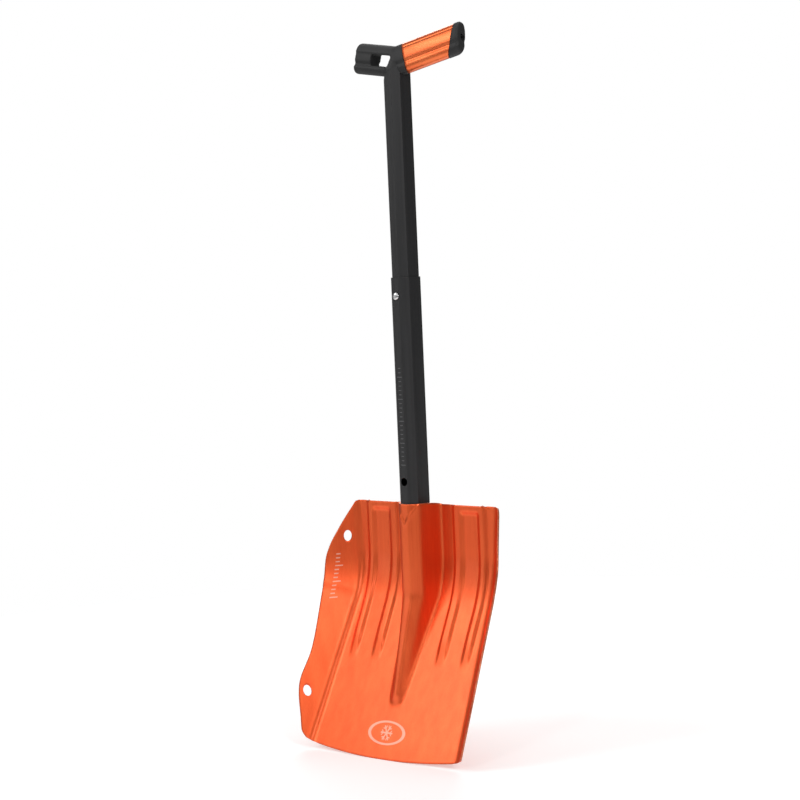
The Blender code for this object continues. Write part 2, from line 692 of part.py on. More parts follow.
def make_grip_cap(look):
    spigot = grip_outline(-SLEEVE_WALL - GAP, 0)
    rim = grip_outline(0.3 * MM, 0)
    rings = [arm_ring(spigot, RIGHT_ARM - CAP_SPIGOT, SLEEVE_END_CUT, 1),
             arm_ring(spigot, RIGHT_ARM + GAP, SLEEVE_END_CUT, 1),
             arm_ring(rim, RIGHT_ARM + GAP, SLEEVE_END_CUT, 1),
             arm_ring(rim, RIGHT_ARM + CAP_LENGTH * 0.6, cap_cut(0.6), 1)]
    for inset, share in CAP_ROUNDING:
        rings.append(arm_ring(grip_outline(-inset, 0), RIGHT_ARM + CAP_LENGTH * share,
                              cap_cut(share), 1))
    cap = loft("grip_end_cap", rings, look)
    combine(cap, cap_screw_hole("cap_screw_hole", GAP), 'DIFFERENCE')
    return cap


def screw_line(setback):
    """Where the cap's screw starts, under the cap's end face, and which way it points."""
    direction = Vector((-math.cos(RIGHT_RAISE), 0, -math.sin(RIGHT_RAISE)))
    reach = RIGHT_ARM + CAP_LENGTH - setback
    return Vector((0, 0, GRIP_HEIGHT)) - direction * reach, direction


def cap_screw_hole(name, gap):
    start, direction = screw_line(0)
    head, sink = SCREW_HEAD[0] + gap, SCREW_SETBACK + SCREW_HEAD[1] + gap
    shank = SCREW_RADIUS + gap
    return rod(name, (head, head, shank, shank), start, direction,
               (-CAP_LENGTH, sink, sink, SCREW_SETBACK + SCREW_LENGTH + SCREW_HOLE_END), sides=16)


def make_cap_screw(look):
    start, direction = screw_line(SCREW_SETBACK)
    head, sink = SCREW_HEAD
    screw = rod("grip_cap_screw", (head * 0.6, head, head, SCREW_RADIUS, SCREW_RADIUS), start,
                direction, (0, 0.5 * MM, sink, sink, SCREW_LENGTH), look, sides=16)
    radius, depth = SCREW_SOCKET
    slot = rod("screw_socket", (radius, radius), start, direction, (-depth, depth), sides=6)
    combine(screw, slot, 'DIFFERENCE')
    return screw


def rivet_hole(name):
    """A guide from behind the tube to just past the rivet's end in the grip."""
    end = TUBE_DEPTH / 2 - UPPER_INSET - RIVET_SHANK - GAP
    return rod(name, (RIVET_RADIUS + GAP,) * 2, (0, TUBE_DEPTH, GRIP_HEIGHT - RIVET_DROP),
               (0, -1, 0), (0, TUBE_DEPTH - end), sides=16)


def make_rivet(look):
    """A pan-headed rivet through the tube's back wall into the grip's spigot."""
    face = TUBE_DEPTH / 2 - UPPER_INSET + GAP
    head, tall = RIVET_HEAD
    radii = (RIVET_RADIUS, RIVET_RADIUS, head, head * 0.9, head * 0.45)
    stations = (-RIVET_SHANK, 0, 0, tall * 0.7, tall)
    return rod("grip_rivet", radii, (0, face, GRIP_HEIGHT - RIVET_DROP), (0, 1, 0), stations,
               look, sides=16)


# ---------------------------------------------------------------- assembly

ORANGE = ((0.80, 0.13, 0.03), 0.34, 0.85)
BLACK_METAL = ((0.035, 0.035, 0.037), 0.42, 0.75)
BLACK_PLASTIC = ((0.02, 0.02, 0.021), 0.55, 0.0)
STEEL = ((0.62, 0.62, 0.63), 0.25, 1.0)


def carrier(name, parent, place):
    """An empty on a sliding piece's axis, which carries that piece."""
    empty = bpy.data.objects.new(name, None)
    bpy.context.collection.objects.link(empty)
    empty.parent = parent
    empty.location = Vector(place) - (world_place(parent) if parent else Vector())
    return empty


def world_place(item):
    place = Vector()
    while item:
        place = place + item.location
        item = item.parent
    return place


def attach(item, parent):
    """Hangs a piece, and the guides that shape it, on its carrier where it stands."""
    item.parent = parent
    item.location = -world_place(parent)
    for modifier in item.modifiers:
        if modifier.type == 'BOOLEAN':
            modifier.object.parent = parent
            modifier.object.location = -world_place(parent)


def build():
    clear_scene()
    shovel = carrier("shovel", None, (0, 0, 0))
    blade = make_blade(ORANGE)
    plate = make_back_plate(ORANGE)
    for piece in (blade, plate):
        attach(piece, shovel)

    lower = carrier("lower_shaft", shovel, (0, 0, SOCKET_FLOOR))
    attach(make_lower_tube(BLACK_METAL), lower)
    attach(make_end_plug("lower_tube_plug", 0, SOCKET_FLOOR, BLACK_PLASTIC), lower)
    lock = carrier("blade_lock", lower, (0, 0, LOCK_HEIGHT))
    attach(make_button("blade_lock_button", 0, LOCK_HEIGHT, 1, SOCKET_GAP + PLATE_SHEET, STEEL), lock)
    attach(make_button_spring("blade_lock_spring", 0, LOCK_HEIGHT, 1, STEEL), lower)

    upper = carrier("upper_shaft", lower, (0, 0, UPPER_TUBE_FOOT))
    attach(make_upper_tube(BLACK_METAL), upper)
    attach(make_end_plug("upper_tube_guide", UPPER_INSET, UPPER_TUBE_FOOT, BLACK_PLASTIC), upper)
    press = carrier("length_press", upper, (0, 0, BUTTON_HEIGHT))
    attach(make_button("length_button", UPPER_INSET, BUTTON_HEIGHT, -1, 0, STEEL), press)
    attach(make_button_spring("length_button_spring", UPPER_INSET, BUTTON_HEIGHT, -1, STEEL),
           upper)
    for piece in (make_grip_core(BLACK_PLASTIC), make_grip_sleeve(ORANGE),
                  make_grip_cap(BLACK_PLASTIC), make_cap_screw(STEEL), make_rivet(BLACK_METAL)):
        attach(piece, upper)
    stand_over_origin(shovel)


def stand_over_origin(shovel):
    """Moves the whole shovel so that the middle of its box is over the origin."""
    bpy.context.view_layer.update()
    graph = bpy.context.evaluated_depsgraph_get()
    places = []
    for item in bpy.data.objects:
        if item.type == 'MESH' and not item.hide_render:
            solid = item.evaluated_get(graph)
            places += [solid.matrix_world @ vertex.co for vertex in solid.data.vertices]
    middle_x = (min(p.x for p in places) + max(p.x for p in places)) / 2
    middle_y = (min(p.y for p in places) + max(p.y for p in places)) / 2
    shovel.location = (-middle_x, -middle_y, -min(p.z for p in places))


build()
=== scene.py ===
"""The finished look of a telescoping avalanche shovel: orange anodised blade and
grip sleeve, black anodised shaft and moulded black grip.

Shapes are worked out in millimetres from the shaft: x across, y back from the
shaft's middle plane, z up from the blade's tip.  add_piece() puts them in the
frame of the CAD part.
"""
import math

import bmesh
import bpy
import numpy as np
from mathutils import Matrix, Vector


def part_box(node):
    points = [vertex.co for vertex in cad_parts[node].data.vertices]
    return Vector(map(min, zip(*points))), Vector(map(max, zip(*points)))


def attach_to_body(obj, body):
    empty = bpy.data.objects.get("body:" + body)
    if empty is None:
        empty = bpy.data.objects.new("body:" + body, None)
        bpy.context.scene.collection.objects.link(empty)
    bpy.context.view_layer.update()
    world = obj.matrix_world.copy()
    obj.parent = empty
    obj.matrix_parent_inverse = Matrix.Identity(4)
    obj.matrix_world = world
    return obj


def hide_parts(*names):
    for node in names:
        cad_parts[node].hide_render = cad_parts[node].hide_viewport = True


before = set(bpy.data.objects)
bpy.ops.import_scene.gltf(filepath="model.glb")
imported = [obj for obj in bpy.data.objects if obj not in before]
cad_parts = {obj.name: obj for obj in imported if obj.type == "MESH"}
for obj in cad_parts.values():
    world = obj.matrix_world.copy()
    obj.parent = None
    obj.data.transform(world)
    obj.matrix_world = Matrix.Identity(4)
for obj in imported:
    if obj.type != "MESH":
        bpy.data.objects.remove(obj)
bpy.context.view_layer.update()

MM = 0.001
SHAFT_Y = sum(corner.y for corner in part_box("lower_shaft_tube")) / 2
BLADE_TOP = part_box("blade")[1].z / MM
LOWER_TUBE = [corner.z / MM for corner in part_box("lower_shaft_tube")]
UPPER_TUBE_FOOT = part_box("upper_shaft_tube")[0].z / MM
BUTTON_HEIGHT = sum(corner.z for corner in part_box("length_button")) / 2 / MM
LOCK_HEIGHT = sum(corner.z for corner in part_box("blade_lock_button")) / 2 / MM
RIVET_HEIGHT = sum(corner.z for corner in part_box("grip_rivet")) / 2 / MM

# Blade sheet
SHEET = 2.0
GAP = 0.3
FLOOR_DEPTH = 18
BEND_START = 60
BEND_RADIUS = 132
LIFT = math.radians(27)
TOP_EDGE_DROP = 3.2
MOUTH_HALF_WIDTH = 17
TIP_RISE = 9
TIP_CORNER_OUT = 7.2
CORNER_RADIUS = 8
FOLD_TOP, FOLD_WAIST, FOLD_BOTTOM = 105, 98, 109
FOLD_WAIST_DROP = 0.39 * BLADE_TOP
FOLD_RADIUS = 13
FOLD_ANGLE = math.radians(52)
WING_EDGE = ((15.2, 0.121), (26.3, 0.234), (27.5, 0.39), (20.9, 0.638), (21.5, 0.787),
             (12.7, 0.908))
HOLE_SIZE = (9.5, 13)
WING_HOLES = ((9, 0.16 * BLADE_TOP), (16.7, 0.8 * BLADE_TOP))
PANEL = (43, 85)
PANEL_HEIGHT, PANEL_STEP = 2.5, 3
BEAD = (51, 79)
BEAD_DEPTH, BEAD_STEP, BEAD_TOP = 2.3, 3.7, 10
RELIEF_FADE = (150, 184)
RIDGE_LEAN = math.radians(15)
RIDGE_END, RIDGE_RUNOUT = 215, 9
RIDGE_FOOT = (22, 10)
RIDGE_SHOULDER_END, RIDGE_CREST_END = 6.5, 3.5
RIDGE_SHOULDER_FALL = 0.45
SOCKET_DEPTH = 105
SOCKET_GAP = 0.5
BLADE_GRID = (172, 253)
BLADE_RIM = 0.5
TOP_CORNER = 3

# Reach across and along over which each pressed edge is rounded
RELIEF_SOFT, WING_SOFT, RIDGE_SOFT = (1.1, 1.6), (2.0, 2.0), (2.6, 4.0)

# Darts under the socket's mouth
DART_START, DART_LENGTH, DART_HALF_WIDTH = 2, 23, 14.5
DART_LINE, DART_RISE, DART_HOLLOW = 1.1, 0.55, 0.9

# Socket back plate and its welds
PLATE_TOP, PLATE_END, PLATE_HALF_WIDTH = 8, 122, 37
PLATE_SHOULDER, PLATE_STEP, PLATE_RAMP = 16.5, 6, 16
PLATE_GRID = (96, 93)
PLATE_RIM = 0.4
PLATE_CORNERS = (4, 7)
WELD_START, WELD_LENGTH, WELD_STEPS = 14, 100, 240
WELD_SIZE, WELD_PITCH = (1.9, 1.5), 1.7

# Shaft
TUBE_WIDTH, TUBE_DEPTH, TUBE_FACE = 27, 37, 10
TUBE_WALL, TUBE_CORNER = 1.2, 2.6
UPPER_INSET = TUBE_WALL + 0.3
BUTTON_RADIUS = 4.2
BUTTON_HOLE = 4.6
BUTTON_PROUD, BUTTON_DOME, BUTTON_BASE = 2.4, 1.9, 5
LENGTH_TRAVEL = 211

# Grip
LEFT_RAISE, RIGHT_RAISE = math.radians(9.3), math.radians(11)
ARM_HEIGHT, ARM_THICKNESS, ARM_SLANT = 35, 21.5, 0.11
LEFT_ARM, RIGHT_ARM = 56, 82
CAP_LENGTH, CAP_SPIGOT, TENON_GAP = 15.3, 8, 4
CAP_END = (math.radians(-10), math.radians(10))
SLEEVE_WALL = 1.8
SLEEVE_START = 13.8
SLEEVE_START_CUT = (math.radians(2), math.radians(26))
SLEEVE_END_CUT = (math.radians(-24), math.radians(30))
SQUARE = (0, 0)
WINDOW = (-31, -2, 6.3)
WINDOW_CORNER = 2
SPIGOT_LENGTH, SPIGOT_TAPER, SPIGOT_LEAD = 32, 0.94, 2
SPIGOT_TIP = (0.75, 0.55, 7)
GRIP_ROUNDNESS = 0.8                # power of the section's curve, 1 being an ellipse
GROOVE = (-5.5, 2.4, 1.5)           # height, width and depth
SLEEVE_LINE = (11.4, 0.9, 0.55)
WAIST_HALF_HEIGHT, WAIST_DEPTH = 7.5, 1.3
LEFT_END_RADIUS = 4
CAP_END_RADIUS = 6.2
SCREW_SINK = 3.5
GRIP_CELL, GRIP_ROUNDS = 0.62, 4
RIVET_RADIUS, RIVET_HEAD = 2, (3.4, 1.35)
TAB_PEAK = (9.5, 6)
TAB_SLOPE = 0.65
RIVET_DROP = 25
RIVET_SHANK = 8
GRIP_HEIGHT = RIVET_HEIGHT + RIVET_DROP

# Plain etched marks
OVAL_PLACE, OVAL_SIZE = (-2.5, 27.5), (27, 12.5)
OVAL_INNER = 0.84
CRYSTAL_ARM = (8.4, 0.8)            # length and half width
CRYSTAL_BRANCH = (5, 0.7, 2.8)      # place on the arm, half width and reach
TICK_COLUMN = (-118.6, -115.5, 2.5)     # outer end, inner end, and more on a long tick
WING_TICKS, TICK_STEP = (166, 220), 4.5
TUBE_TICKS, TUBE_TICK_STEP = (326, 441), 5


# ------------------------------------------------------------------ meshes

def add_piece(name, points, faces, sharp=35):
    """A mesh piece from points in shaft millimetres."""
    mesh = bpy.data.meshes.new(name)
    places = [(x * MM, SHAFT_Y + y * MM, z * MM) for x, y, z in points]
    mesh.from_pydata(places, [], faces)
    mesh.validate()
    shape = bmesh.new()
    shape.from_mesh(mesh)
    bmesh.ops.recalc_face_normals(shape, faces=shape.faces)
    shape.to_mesh(mesh)
    shape.free()
    piece = bpy.data.objects.new(name, mesh)
    bpy.context.scene.collection.objects.link(piece)
    shade(piece, sharp)
    return piece


def shade(piece, sharp=35):
    piece.data.shade_smooth()
    piece.data.set_sharp_from_angle(angle=math.radians(sharp))


def settle(piece):
    """Applies a piece's modifiers."""
    graph = bpy.context.evaluated_depsgraph_get()
    made = bpy.data.meshes.new_from_object(piece.evaluated_get(graph), depsgraph=graph)
    piece.modifiers.clear()
    piece.data = made


def carve(piece, tool, operation='DIFFERENCE'):
    """Cuts a piece with a tool, or joins the two, and throws the tool away."""
    change = piece.modifiers.new("carve", 'BOOLEAN')
    change.operation = operation
    change.solver = 'EXACT'
    change.object = tool
    settle(piece)
    bpy.data.objects.remove(tool, do_unlink=True)


def soften(piece, cell, rounds, share=0.5):
    """Remeshes a moulded piece in small cells and rounds its edges."""
    cells = piece.modifiers.new("cells", 'REMESH')
    cells.mode = 'VOXEL'
    cells.voxel_size = cell * MM
    round_off = piece.modifiers.new("round", 'SMOOTH')
    round_off.factor = share
    round_off.iterations = rounds
    settle(piece)
    shade(piece, 60)


def loft(name, rings, closed=False, sharp=35):
    """A solid through rings of as many points each: capped, or closed into a hollow."""
    count = len(rings[0])
    faces = []
    last = len(rings) if closed else len(rings) - 1
    for row in range(last):
        low, high = row * count, (row + 1) % len(rings) * count
        for i in range(count):
            j = (i + 1) % count
            faces.append((low + i, low + j, high + j, high + i))
    if not closed:
        faces.append(tuple(reversed(range(count))))
        faces.append(tuple(range((len(rings) - 1) * count, len(rings) * count)))
    return add_piece(name, [p for ring in rings for p in ring], faces, sharp)


def turned(name, profile, start, direction, sides=48, stretch=(1, 1), sharp=35):
    """A lathe piece from (radius, distance) pairs along a direction."""
    along = Vector(direction).normalized()
    across = Vector((1, 0, 0)) if abs(along.x) < 0.5 else Vector((0, 1, 0))
    across = (across - along * across.dot(along)).normalized()
    upward = along.cross(across)
    rings = []
    for radius, distance in profile:
        middle = Vector(start) + along * distance
        turns = [2 * math.pi * i / sides for i in range(sides)]
        rings.append([middle + across * radius * stretch[0] * math.cos(turn)
                      + upward * radius * stretch[1] * math.sin(turn) for turn in turns])
    return loft(name, rings, sharp=sharp)


def arc(radius, start, end, steps):
    """(inward, onward) places of a rounded edge, from a side to an end."""
    turns = np.linspace(start, end, steps + 1)
    return [(radius * (1 - math.cos(turn)), radius * math.sin(turn)) for turn in turns]


def pressed_sheet(name, front, thickness, rounding=0.5, sharp=50):
    """A sheet from a grid of front points: a back face behind it and a rounded rim."""
    rows, columns, _ = front.shape
    down = np.gradient(front, axis=0)
    over = np.gradient(front, axis=1)
    back_way = np.cross(down, over)
    back_way /= np.linalg.norm(back_way, axis=2, keepdims=True)
    if back_way[rows // 2, columns // 2, 1] < 0:
        back_way = -back_way
    grid = np.arange(rows * columns).reshape(rows, columns)
    loop = np.concatenate([grid[0, :-1], grid[:-1, -1], grid[-1, :0:-1], grid[:0:-1, 0]])
    points = front.reshape(-1, 3)
    away = back_way.reshape(-1, 3)
    edge = points[loop]
    run = np.roll(edge, -1, axis=0) - np.roll(edge, 1, axis=0)
    outward = np.cross(run, away[loop])
    outward /= np.linalg.norm(outward, axis=1, keepdims=True)
    middle = points.mean(axis=0)
    if ((edge - middle) * outward).sum() < 0:
        outward = -outward
    everything = [points, points + away * thickness]
    for share in (0.12, 0.5, 0.88):
        bulge = rounding * math.sqrt(1 - (2 * share - 1) ** 2)
        everything.append(edge + away[loop] * thickness * share + outward * bulge)
    faces = []
    behind = rows * columns
    for r in range(rows - 1):
        for c in range(columns - 1):
            quad = (grid[r, c], grid[r, c + 1], grid[r + 1, c + 1], grid[r + 1, c])
            faces.append(tuple(int(i) for i in quad))
            faces.append(tuple(int(i) + behind for i in reversed(quad)))
    size = len(loop)
    rings = [loop] + [2 * behind + ring * size + np.arange(size) for ring in range(3)]
    rings.append(loop + behind)
    for low, high in zip(rings, rings[1:]):
        for i in range(size):
            j = (i + 1) % size
            faces.append((int(low[i]), int(high[i]), int(high[j]), int(low[j])))
    points = np.concatenate(everything)
    piece = add_piece(name, points.tolist(), faces, sharp)
    for label, first, last in (("rim", 2 * behind, len(points)), ("front", 0, behind)):
        shares = np.zeros(len(points), np.float32)
        shares[first:last] = 1
        piece.data.attributes.new(label, 'FLOAT', 'POINT').data.foreach_set("value", shares)
    return piece


def attach(piece, body, nodes, finish):
    """Gives a finished piece its material and its body, and hides the CAD nodes it stands for."""
    piece.data.materials.clear()
    piece.data.materials.append(finish)
    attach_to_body(piece, body)
    if nodes:
        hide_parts(*nodes)


# ------------------------------------------------------------------- blade

def smooth_share(value):
    value = np.clip(value, 0, 1)
    return value * value * (3 - 2 * value)


def floor_depth(drop):
    bend_length = BEND_RADIUS * math.sin(LIFT)
    into = np.clip(drop - BEND_START, 0, bend_length)
    depth = FLOOR_DEPTH - (BEND_RADIUS - np.sqrt(BEND_RADIUS ** 2 - into ** 2))
    return depth - np.maximum(drop - BEND_START - bend_length, 0) * math.tan(LIFT)


def floor_lean(drop):
    into = np.clip(drop - BEND_START, 0, BEND_RADIUS * math.sin(LIFT))
    return np.arcsin(into / BEND_RADIUS)


def fold_place(drop):
    above = FOLD_TOP + (FOLD_WAIST - FOLD_TOP) * np.sin(
        np.clip(drop / FOLD_WAIST_DROP, 0, 1) * math.pi / 2)
    below = (drop - FOLD_WAIST_DROP) / (BLADE_TOP - FOLD_WAIST_DROP)
    return np.where(drop < FOLD_WAIST_DROP, above, FOLD_WAIST + (FOLD_BOTTOM - FOLD_WAIST) * below)


def ridge_rise(x, drop):
    """Pocket of the shaft and the ridge below it, as a rise square to the shaft."""
    pocket = TUBE_DEPTH / 2 + SOCKET_GAP + SHEET
    crest_depth = -pocket - np.maximum(drop - SOCKET_DEPTH, 0) * math.tan(RIDGE_LEAN)
    runout = np.clip((RIDGE_END + RIDGE_RUNOUT - drop) / RIDGE_RUNOUT, 0, 1)
    height = (floor_depth(drop) - crest_depth) * runout
    share = np.clip((drop - SOCKET_DEPTH) / (RIDGE_END - SOCKET_DEPTH), 0, 1)
    skin = SOCKET_GAP + SHEET
    crest = TUBE_FACE / 2 + skin * math.tan(math.pi / 8)
    shoulder = TUBE_WIDTH / 2 + skin
    fall = np.minimum(shoulder - crest, RIDGE_SHOULDER_FALL * height)
    crest = crest + (RIDGE_CREST_END - crest) * share
    shoulder = shoulder + (RIDGE_SHOULDER_END - shoulder) * share
    foot = RIDGE_FOOT[0] + (RIDGE_FOOT[1] - RIDGE_FOOT[0]) * share
    across = np.abs(x)
    chamfer = height - fall * np.clip((across - crest) / (shoulder - crest), 0, 1)
    flank = (height - fall) * np.clip((foot - across) / (foot - shoulder), 0, 1)
    return np.where(across < shoulder, chamfer, flank)


def relief_rise(x, drop):
    """Raised panels with their sunk beads."""
    across = np.abs(x)
    fade = smooth_share((RELIEF_FADE[1] - drop) / (RELIEF_FADE[1] - RELIEF_FADE[0]))
    inner, outer = PANEL
    up = np.clip((across - inner + PANEL_STEP) / PANEL_STEP, 0, 1)
    down = np.clip((outer + PANEL_STEP - across) / PANEL_STEP, 0, 1)
    left, right = BEAD
    start = np.clip((drop - BEAD_TOP) / BEAD_STEP, 0, 1)
    sides = np.clip((across - left) / BEAD_STEP, 0, 1) * np.clip((right - across) / BEAD_STEP, 0, 1)
    return fade * (PANEL_HEIGHT * np.minimum(up, down) - BEAD_DEPTH * start * sides)


def wing_rise(x, drop):
    start = fold_place(drop) - FOLD_RADIUS * math.tan(FOLD_ANGLE / 2)
    into = np.abs(x) - start
    rounded = np.clip(into, 0, FOLD_RADIUS * math.sin(FOLD_ANGLE))
    rise = FOLD_RADIUS - np.sqrt(FOLD_RADIUS ** 2 - rounded ** 2)
    return rise + np.maximum(into - FOLD_RADIUS * math.sin(FOLD_ANGLE), 0) * math.tan(FOLD_ANGLE)


def mouth_crease(x, drop):
    """Pressed darts under the socket's mouth, where the pocket is drawn in."""
    down = drop - DART_START
    reach = DART_HALF_WIDTH * (1 - down / DART_LENGTH)
    line = np.abs(np.abs(x) - reach)
    arms = np.exp(-(line / DART_LINE) ** 2) * smooth_share(down / 3)
    arms = arms * smooth_share((DART_LENGTH + 2 - down) / 5)
    hollow = smooth_share((reach - np.abs(x)) / 4) * smooth_share((DART_LENGTH - 1 - down) / 6)
    return DART_RISE * arms - DART_HOLLOW * hollow


def softened(rise, x, drop, across, along):
    """A rise averaged over its neighbourhood, so that pressed edges are rounded."""
    total = 0
    for step, weight in ((-1, 1), (-0.5, 4), (0, 6), (0.5, 4), (1, 1)):
        for fall, share in ((-1, 1), (0, 2), (1, 1)):
            total = total + rise(x + step * across, drop + fall * along) * weight * share / 64
    return total


def blade_front(x, drop):
    lean = floor_lean(drop)
    relief = softened(relief_rise, x, drop, *RELIEF_SOFT) + softened(wing_rise, x, drop, *WING_SOFT)
    ridge = softened(ridge_rise, x, drop, *RIDGE_SOFT) + mouth_crease(x, drop)
    depth = floor_depth(drop) - ridge - relief * np.cos(lean)
    return np.stack([x, depth, BLADE_TOP - drop + relief * np.sin(lean)], axis=-1)


def wing_edge(drops):
    """Half width of the blade's outline at each distance below its top."""
    knots = [Vector((FOLD_TOP, TOP_EDGE_DROP))]
    for out, share in WING_EDGE:
        drop = share * BLADE_TOP
        knots.append(Vector((float(fold_place(drop)) + out, drop)))
    knots.append(Vector((FOLD_BOTTOM + TIP_CORNER_OUT, BLADE_TOP - TIP_RISE)))
    line = [knots[0]]
    for i in range(len(knots) - 1):
        before, start, end = knots[max(i - 1, 0)], knots[i], knots[i + 1]
        after = knots[min(i + 2, len(knots) - 1)]
        for step in np.linspace(0, 1, 13)[1:]:
            ease, tension = step * step * (3 - 2 * step), step * (1 - step)
            line.append(start.lerp(end, ease) + (end - before) / 2 * tension * (1 - step)
                        - (after - start) / 2 * tension * step)
    return np.interp(drops, [p.y for p in line], [p.x for p in line])


def rounded_sides(width, places, start, end, first, last):
    """Narrows a sheet's half widths near its ends, which rounds its corners."""
    near = np.clip((first - (places - start)) / first, 0, 1)
    far = np.clip((last - (end - places)) / last, 0, 1)
    return width - first * (1 - np.sqrt(1 - near ** 2)) - last * (1 - np.sqrt(1 - far ** 2))


def make_blade():
    rows, columns = BLADE_GRID
    rim = BLADE_RIM
    low_end = BLADE_TOP - TIP_RISE
    places = np.linspace(TOP_EDGE_DROP, low_end, rows)
    # the last rows lie a touch closer to the cutting edge
    places = low_end - (low_end - places) * (1 - 0.004 * (places > low_end - 3))
    width = wing_edge(places) - rim
    width = rounded_sides(width, places, TOP_EDGE_DROP, low_end, TOP_CORNER, CORNER_RADIUS)
    share = (places - TOP_EDGE_DROP) / (low_end - TOP_EDGE_DROP)
    x = np.linspace(-1, 1, columns)[None, :] * width[:, None]
    mouth = (np.abs(x) - MOUTH_HALF_WIDTH) / (RIDGE_FOOT[0] + 4 - MOUTH_HALF_WIDTH)
    top = rim + TOP_EDGE_DROP * smooth_share(mouth)
    bottom = BLADE_TOP - rim - TIP_RISE * (x / (FOLD_BOTTOM + TIP_CORNER_OUT)) ** 2
    drop = top + share[:, None] * (bottom - top)
    blade = pressed_sheet("blade_sheet", blade_front(x, drop), SHEET, rim)
    for side in (-1, 1):
        for out, hole_drop in WING_HOLES:
            carve(blade, wing_hole(side, out, hole_drop))
    shade(blade, 50)
    return blade


def wing_hole(side, out, drop):
    """An oval cutter with countersunk ends, square to the wing."""
    start = float(fold_place(drop)) - FOLD_RADIUS * math.tan(FOLD_ANGLE / 2)
    across = start + FOLD_RADIUS * math.sin(FOLD_ANGLE) + out * math.cos(FOLD_ANGLE)
    lean = float(floor_lean(drop))
    rise = float(wing_rise(np.array(across), np.array(drop)))
    middle = Vector((side * across, float(floor_depth(drop)) - rise * math.cos(lean),
                     BLADE_TOP - drop + rise * math.sin(lean)))
    normal = Vector((side * math.sin(FOLD_ANGLE), math.cos(FOLD_ANGLE) * math.cos(lean),
                     -math.cos(FOLD_ANGLE) * math.sin(lean)))
    profile = [(1.5, -3), (1.07, -0.2), (1, 0.35), (1, SHEET - 0.35), (1.07, SHEET + 0.2),
               (1.5, SHEET + 3)]
    stretch = (HOLE_SIZE[0] / 2, HOLE_SIZE[1] / 2)
    return turned("hole_cutter", profile, middle, normal, sides=40, stretch=stretch)


# ------------------------------------------------------- socket back plate

def plate_depth(x, drop):
    """Front of the plate: flanges on the blade's back, a pan behind the shaft."""
    flange = floor_depth(drop) + SHEET / np.cos(floor_lean(drop)) + GAP
    pan = TUBE_DEPTH / 2 + SOCKET_GAP
    side = smooth_share((PLATE_SHOULDER - np.abs(x)) / PLATE_STEP)
    end = smooth_share((PLATE_END - drop) / PLATE_RAMP)
    return flange + (pan - flange) * side * end


def make_back_plate():
    rows, columns = PLATE_GRID
    rim = PLATE_RIM
    places = np.linspace(PLATE_TOP + rim, PLATE_END - rim, rows)
    width = rounded_sides(np.full(rows, PLATE_HALF_WIDTH - rim), places, places[0], places[-1],
                          *PLATE_CORNERS)
    x = np.linspace(-1, 1, columns)[None, :] * width[:, None]
    drop = np.repeat(places[:, None], x.shape[1], axis=1)
    depth = softened(plate_depth, x, drop, 0.8, 1.5)
    front = np.stack([x, depth, BLADE_TOP - drop], axis=-1)
    plate = pressed_sheet("back_plate_pressing", front, SHEET, rim)
    back = TUBE_DEPTH / 2 + SOCKET_GAP + SHEET
    hole = [(BUTTON_HOLE + 0.5, -4), (BUTTON_HOLE + 0.5, -0.2), (BUTTON_HOLE, 0.3),
            (BUTTON_HOLE, SHEET + 2)]
    carve(plate, turned("lock_cutter", hole, (0, back + 0.2, LOCK_HEIGHT), (0, -1, 0)))
    return plate


def make_weld(side):
    """A rippled weld bead that joins the plate's flange to the blade."""
    wide, deep = WELD_SIZE
    middle = WELD_START + WELD_LENGTH / 2
    rings = []
    for i in range(WELD_STEPS + 1):
        drop = WELD_START + WELD_LENGTH * i / WELD_STEPS
        ripple = 1 + 0.12 * math.sin(drop * 2 * math.pi / WELD_PITCH) + 0.06 * math.sin(drop * 0.9)
        end = math.sqrt(max(1 - ((drop - middle) / (WELD_LENGTH / 2 + 0.3)) ** 8, 0.02))
        middle_y = float(floor_depth(drop)) + SHEET / math.cos(float(floor_lean(drop))) + 0.6
        ring = []
        for k in range(12):
            turn = 2 * math.pi * k / 12
            out = PLATE_HALF_WIDTH + GAP + wide * ripple * end * math.cos(turn)
            ring.append((side * out, middle_y + deep * ripple * end * math.sin(turn),
                         BLADE_TOP - drop))
        rings.append(ring)
    return loft(f"weld_{'left' if side < 0 else 'right'}", rings, sharp=80)


# ------------------------------------------------------------------- shaft

def round_corners(corners, radius, steps):
    outline = []
    for i, corner in enumerate(corners):
        here = Vector(corner)
        before = (Vector(corners[i - 1]) - here).normalized()
        after = (Vector(corners[(i + 1) % len(corners)]) - here).normalized()
        half = before.angle(after) / 2
        reach = radius / math.tan(half)
        centre = here + (before + after).normalized() * radius / math.sin(half)
        first = here + before * reach - centre
        last = here + after * reach - centre
        for step in range(steps + 1):
            outline.append(tuple(centre + first.lerp(last, step / steps).normalized() * radius))
    return outline


def tube_outline(inset, steps=9):
    half_width = TUBE_WIDTH / 2 - inset
    half_depth = TUBE_DEPTH / 2 - inset
    diagonal = (TUBE_DEPTH + TUBE_FACE) / 2 - inset * math.sqrt(2)
    face = diagonal - half_depth
    side = diagonal - half_width
    corners = [(face, -half_depth), (half_width, -side), (half_width, side), (face, half_depth),
               (-face, half_depth), (-half_width, side), (-half_width, -side),
               (-face, -half_depth)]
    return round_corners(corners, max(TUBE_CORNER - inset, 0.6), steps)


def level(outline, height):
    return [(x, y, height) for x, y in outline]


def tube(name, inset, low, high):
    """A tube with lightly broken end edges."""
    outer, inner = tube_outline(inset), tube_outline(inset + TUBE_WALL)
    eased_out, eased_in = tube_outline(inset + 0.25), tube_outline(inset + TUBE_WALL - 0.2)
    rings = [level(eased_out, low), level(outer, low + 0.25), level(outer, high - 0.25),
             level(eased_out, high), level(eased_in, high), level(inner, high - 0.2),
             level(inner, low + 0.2), level(eased_in, low)]
    return loft(name, rings, closed=True)


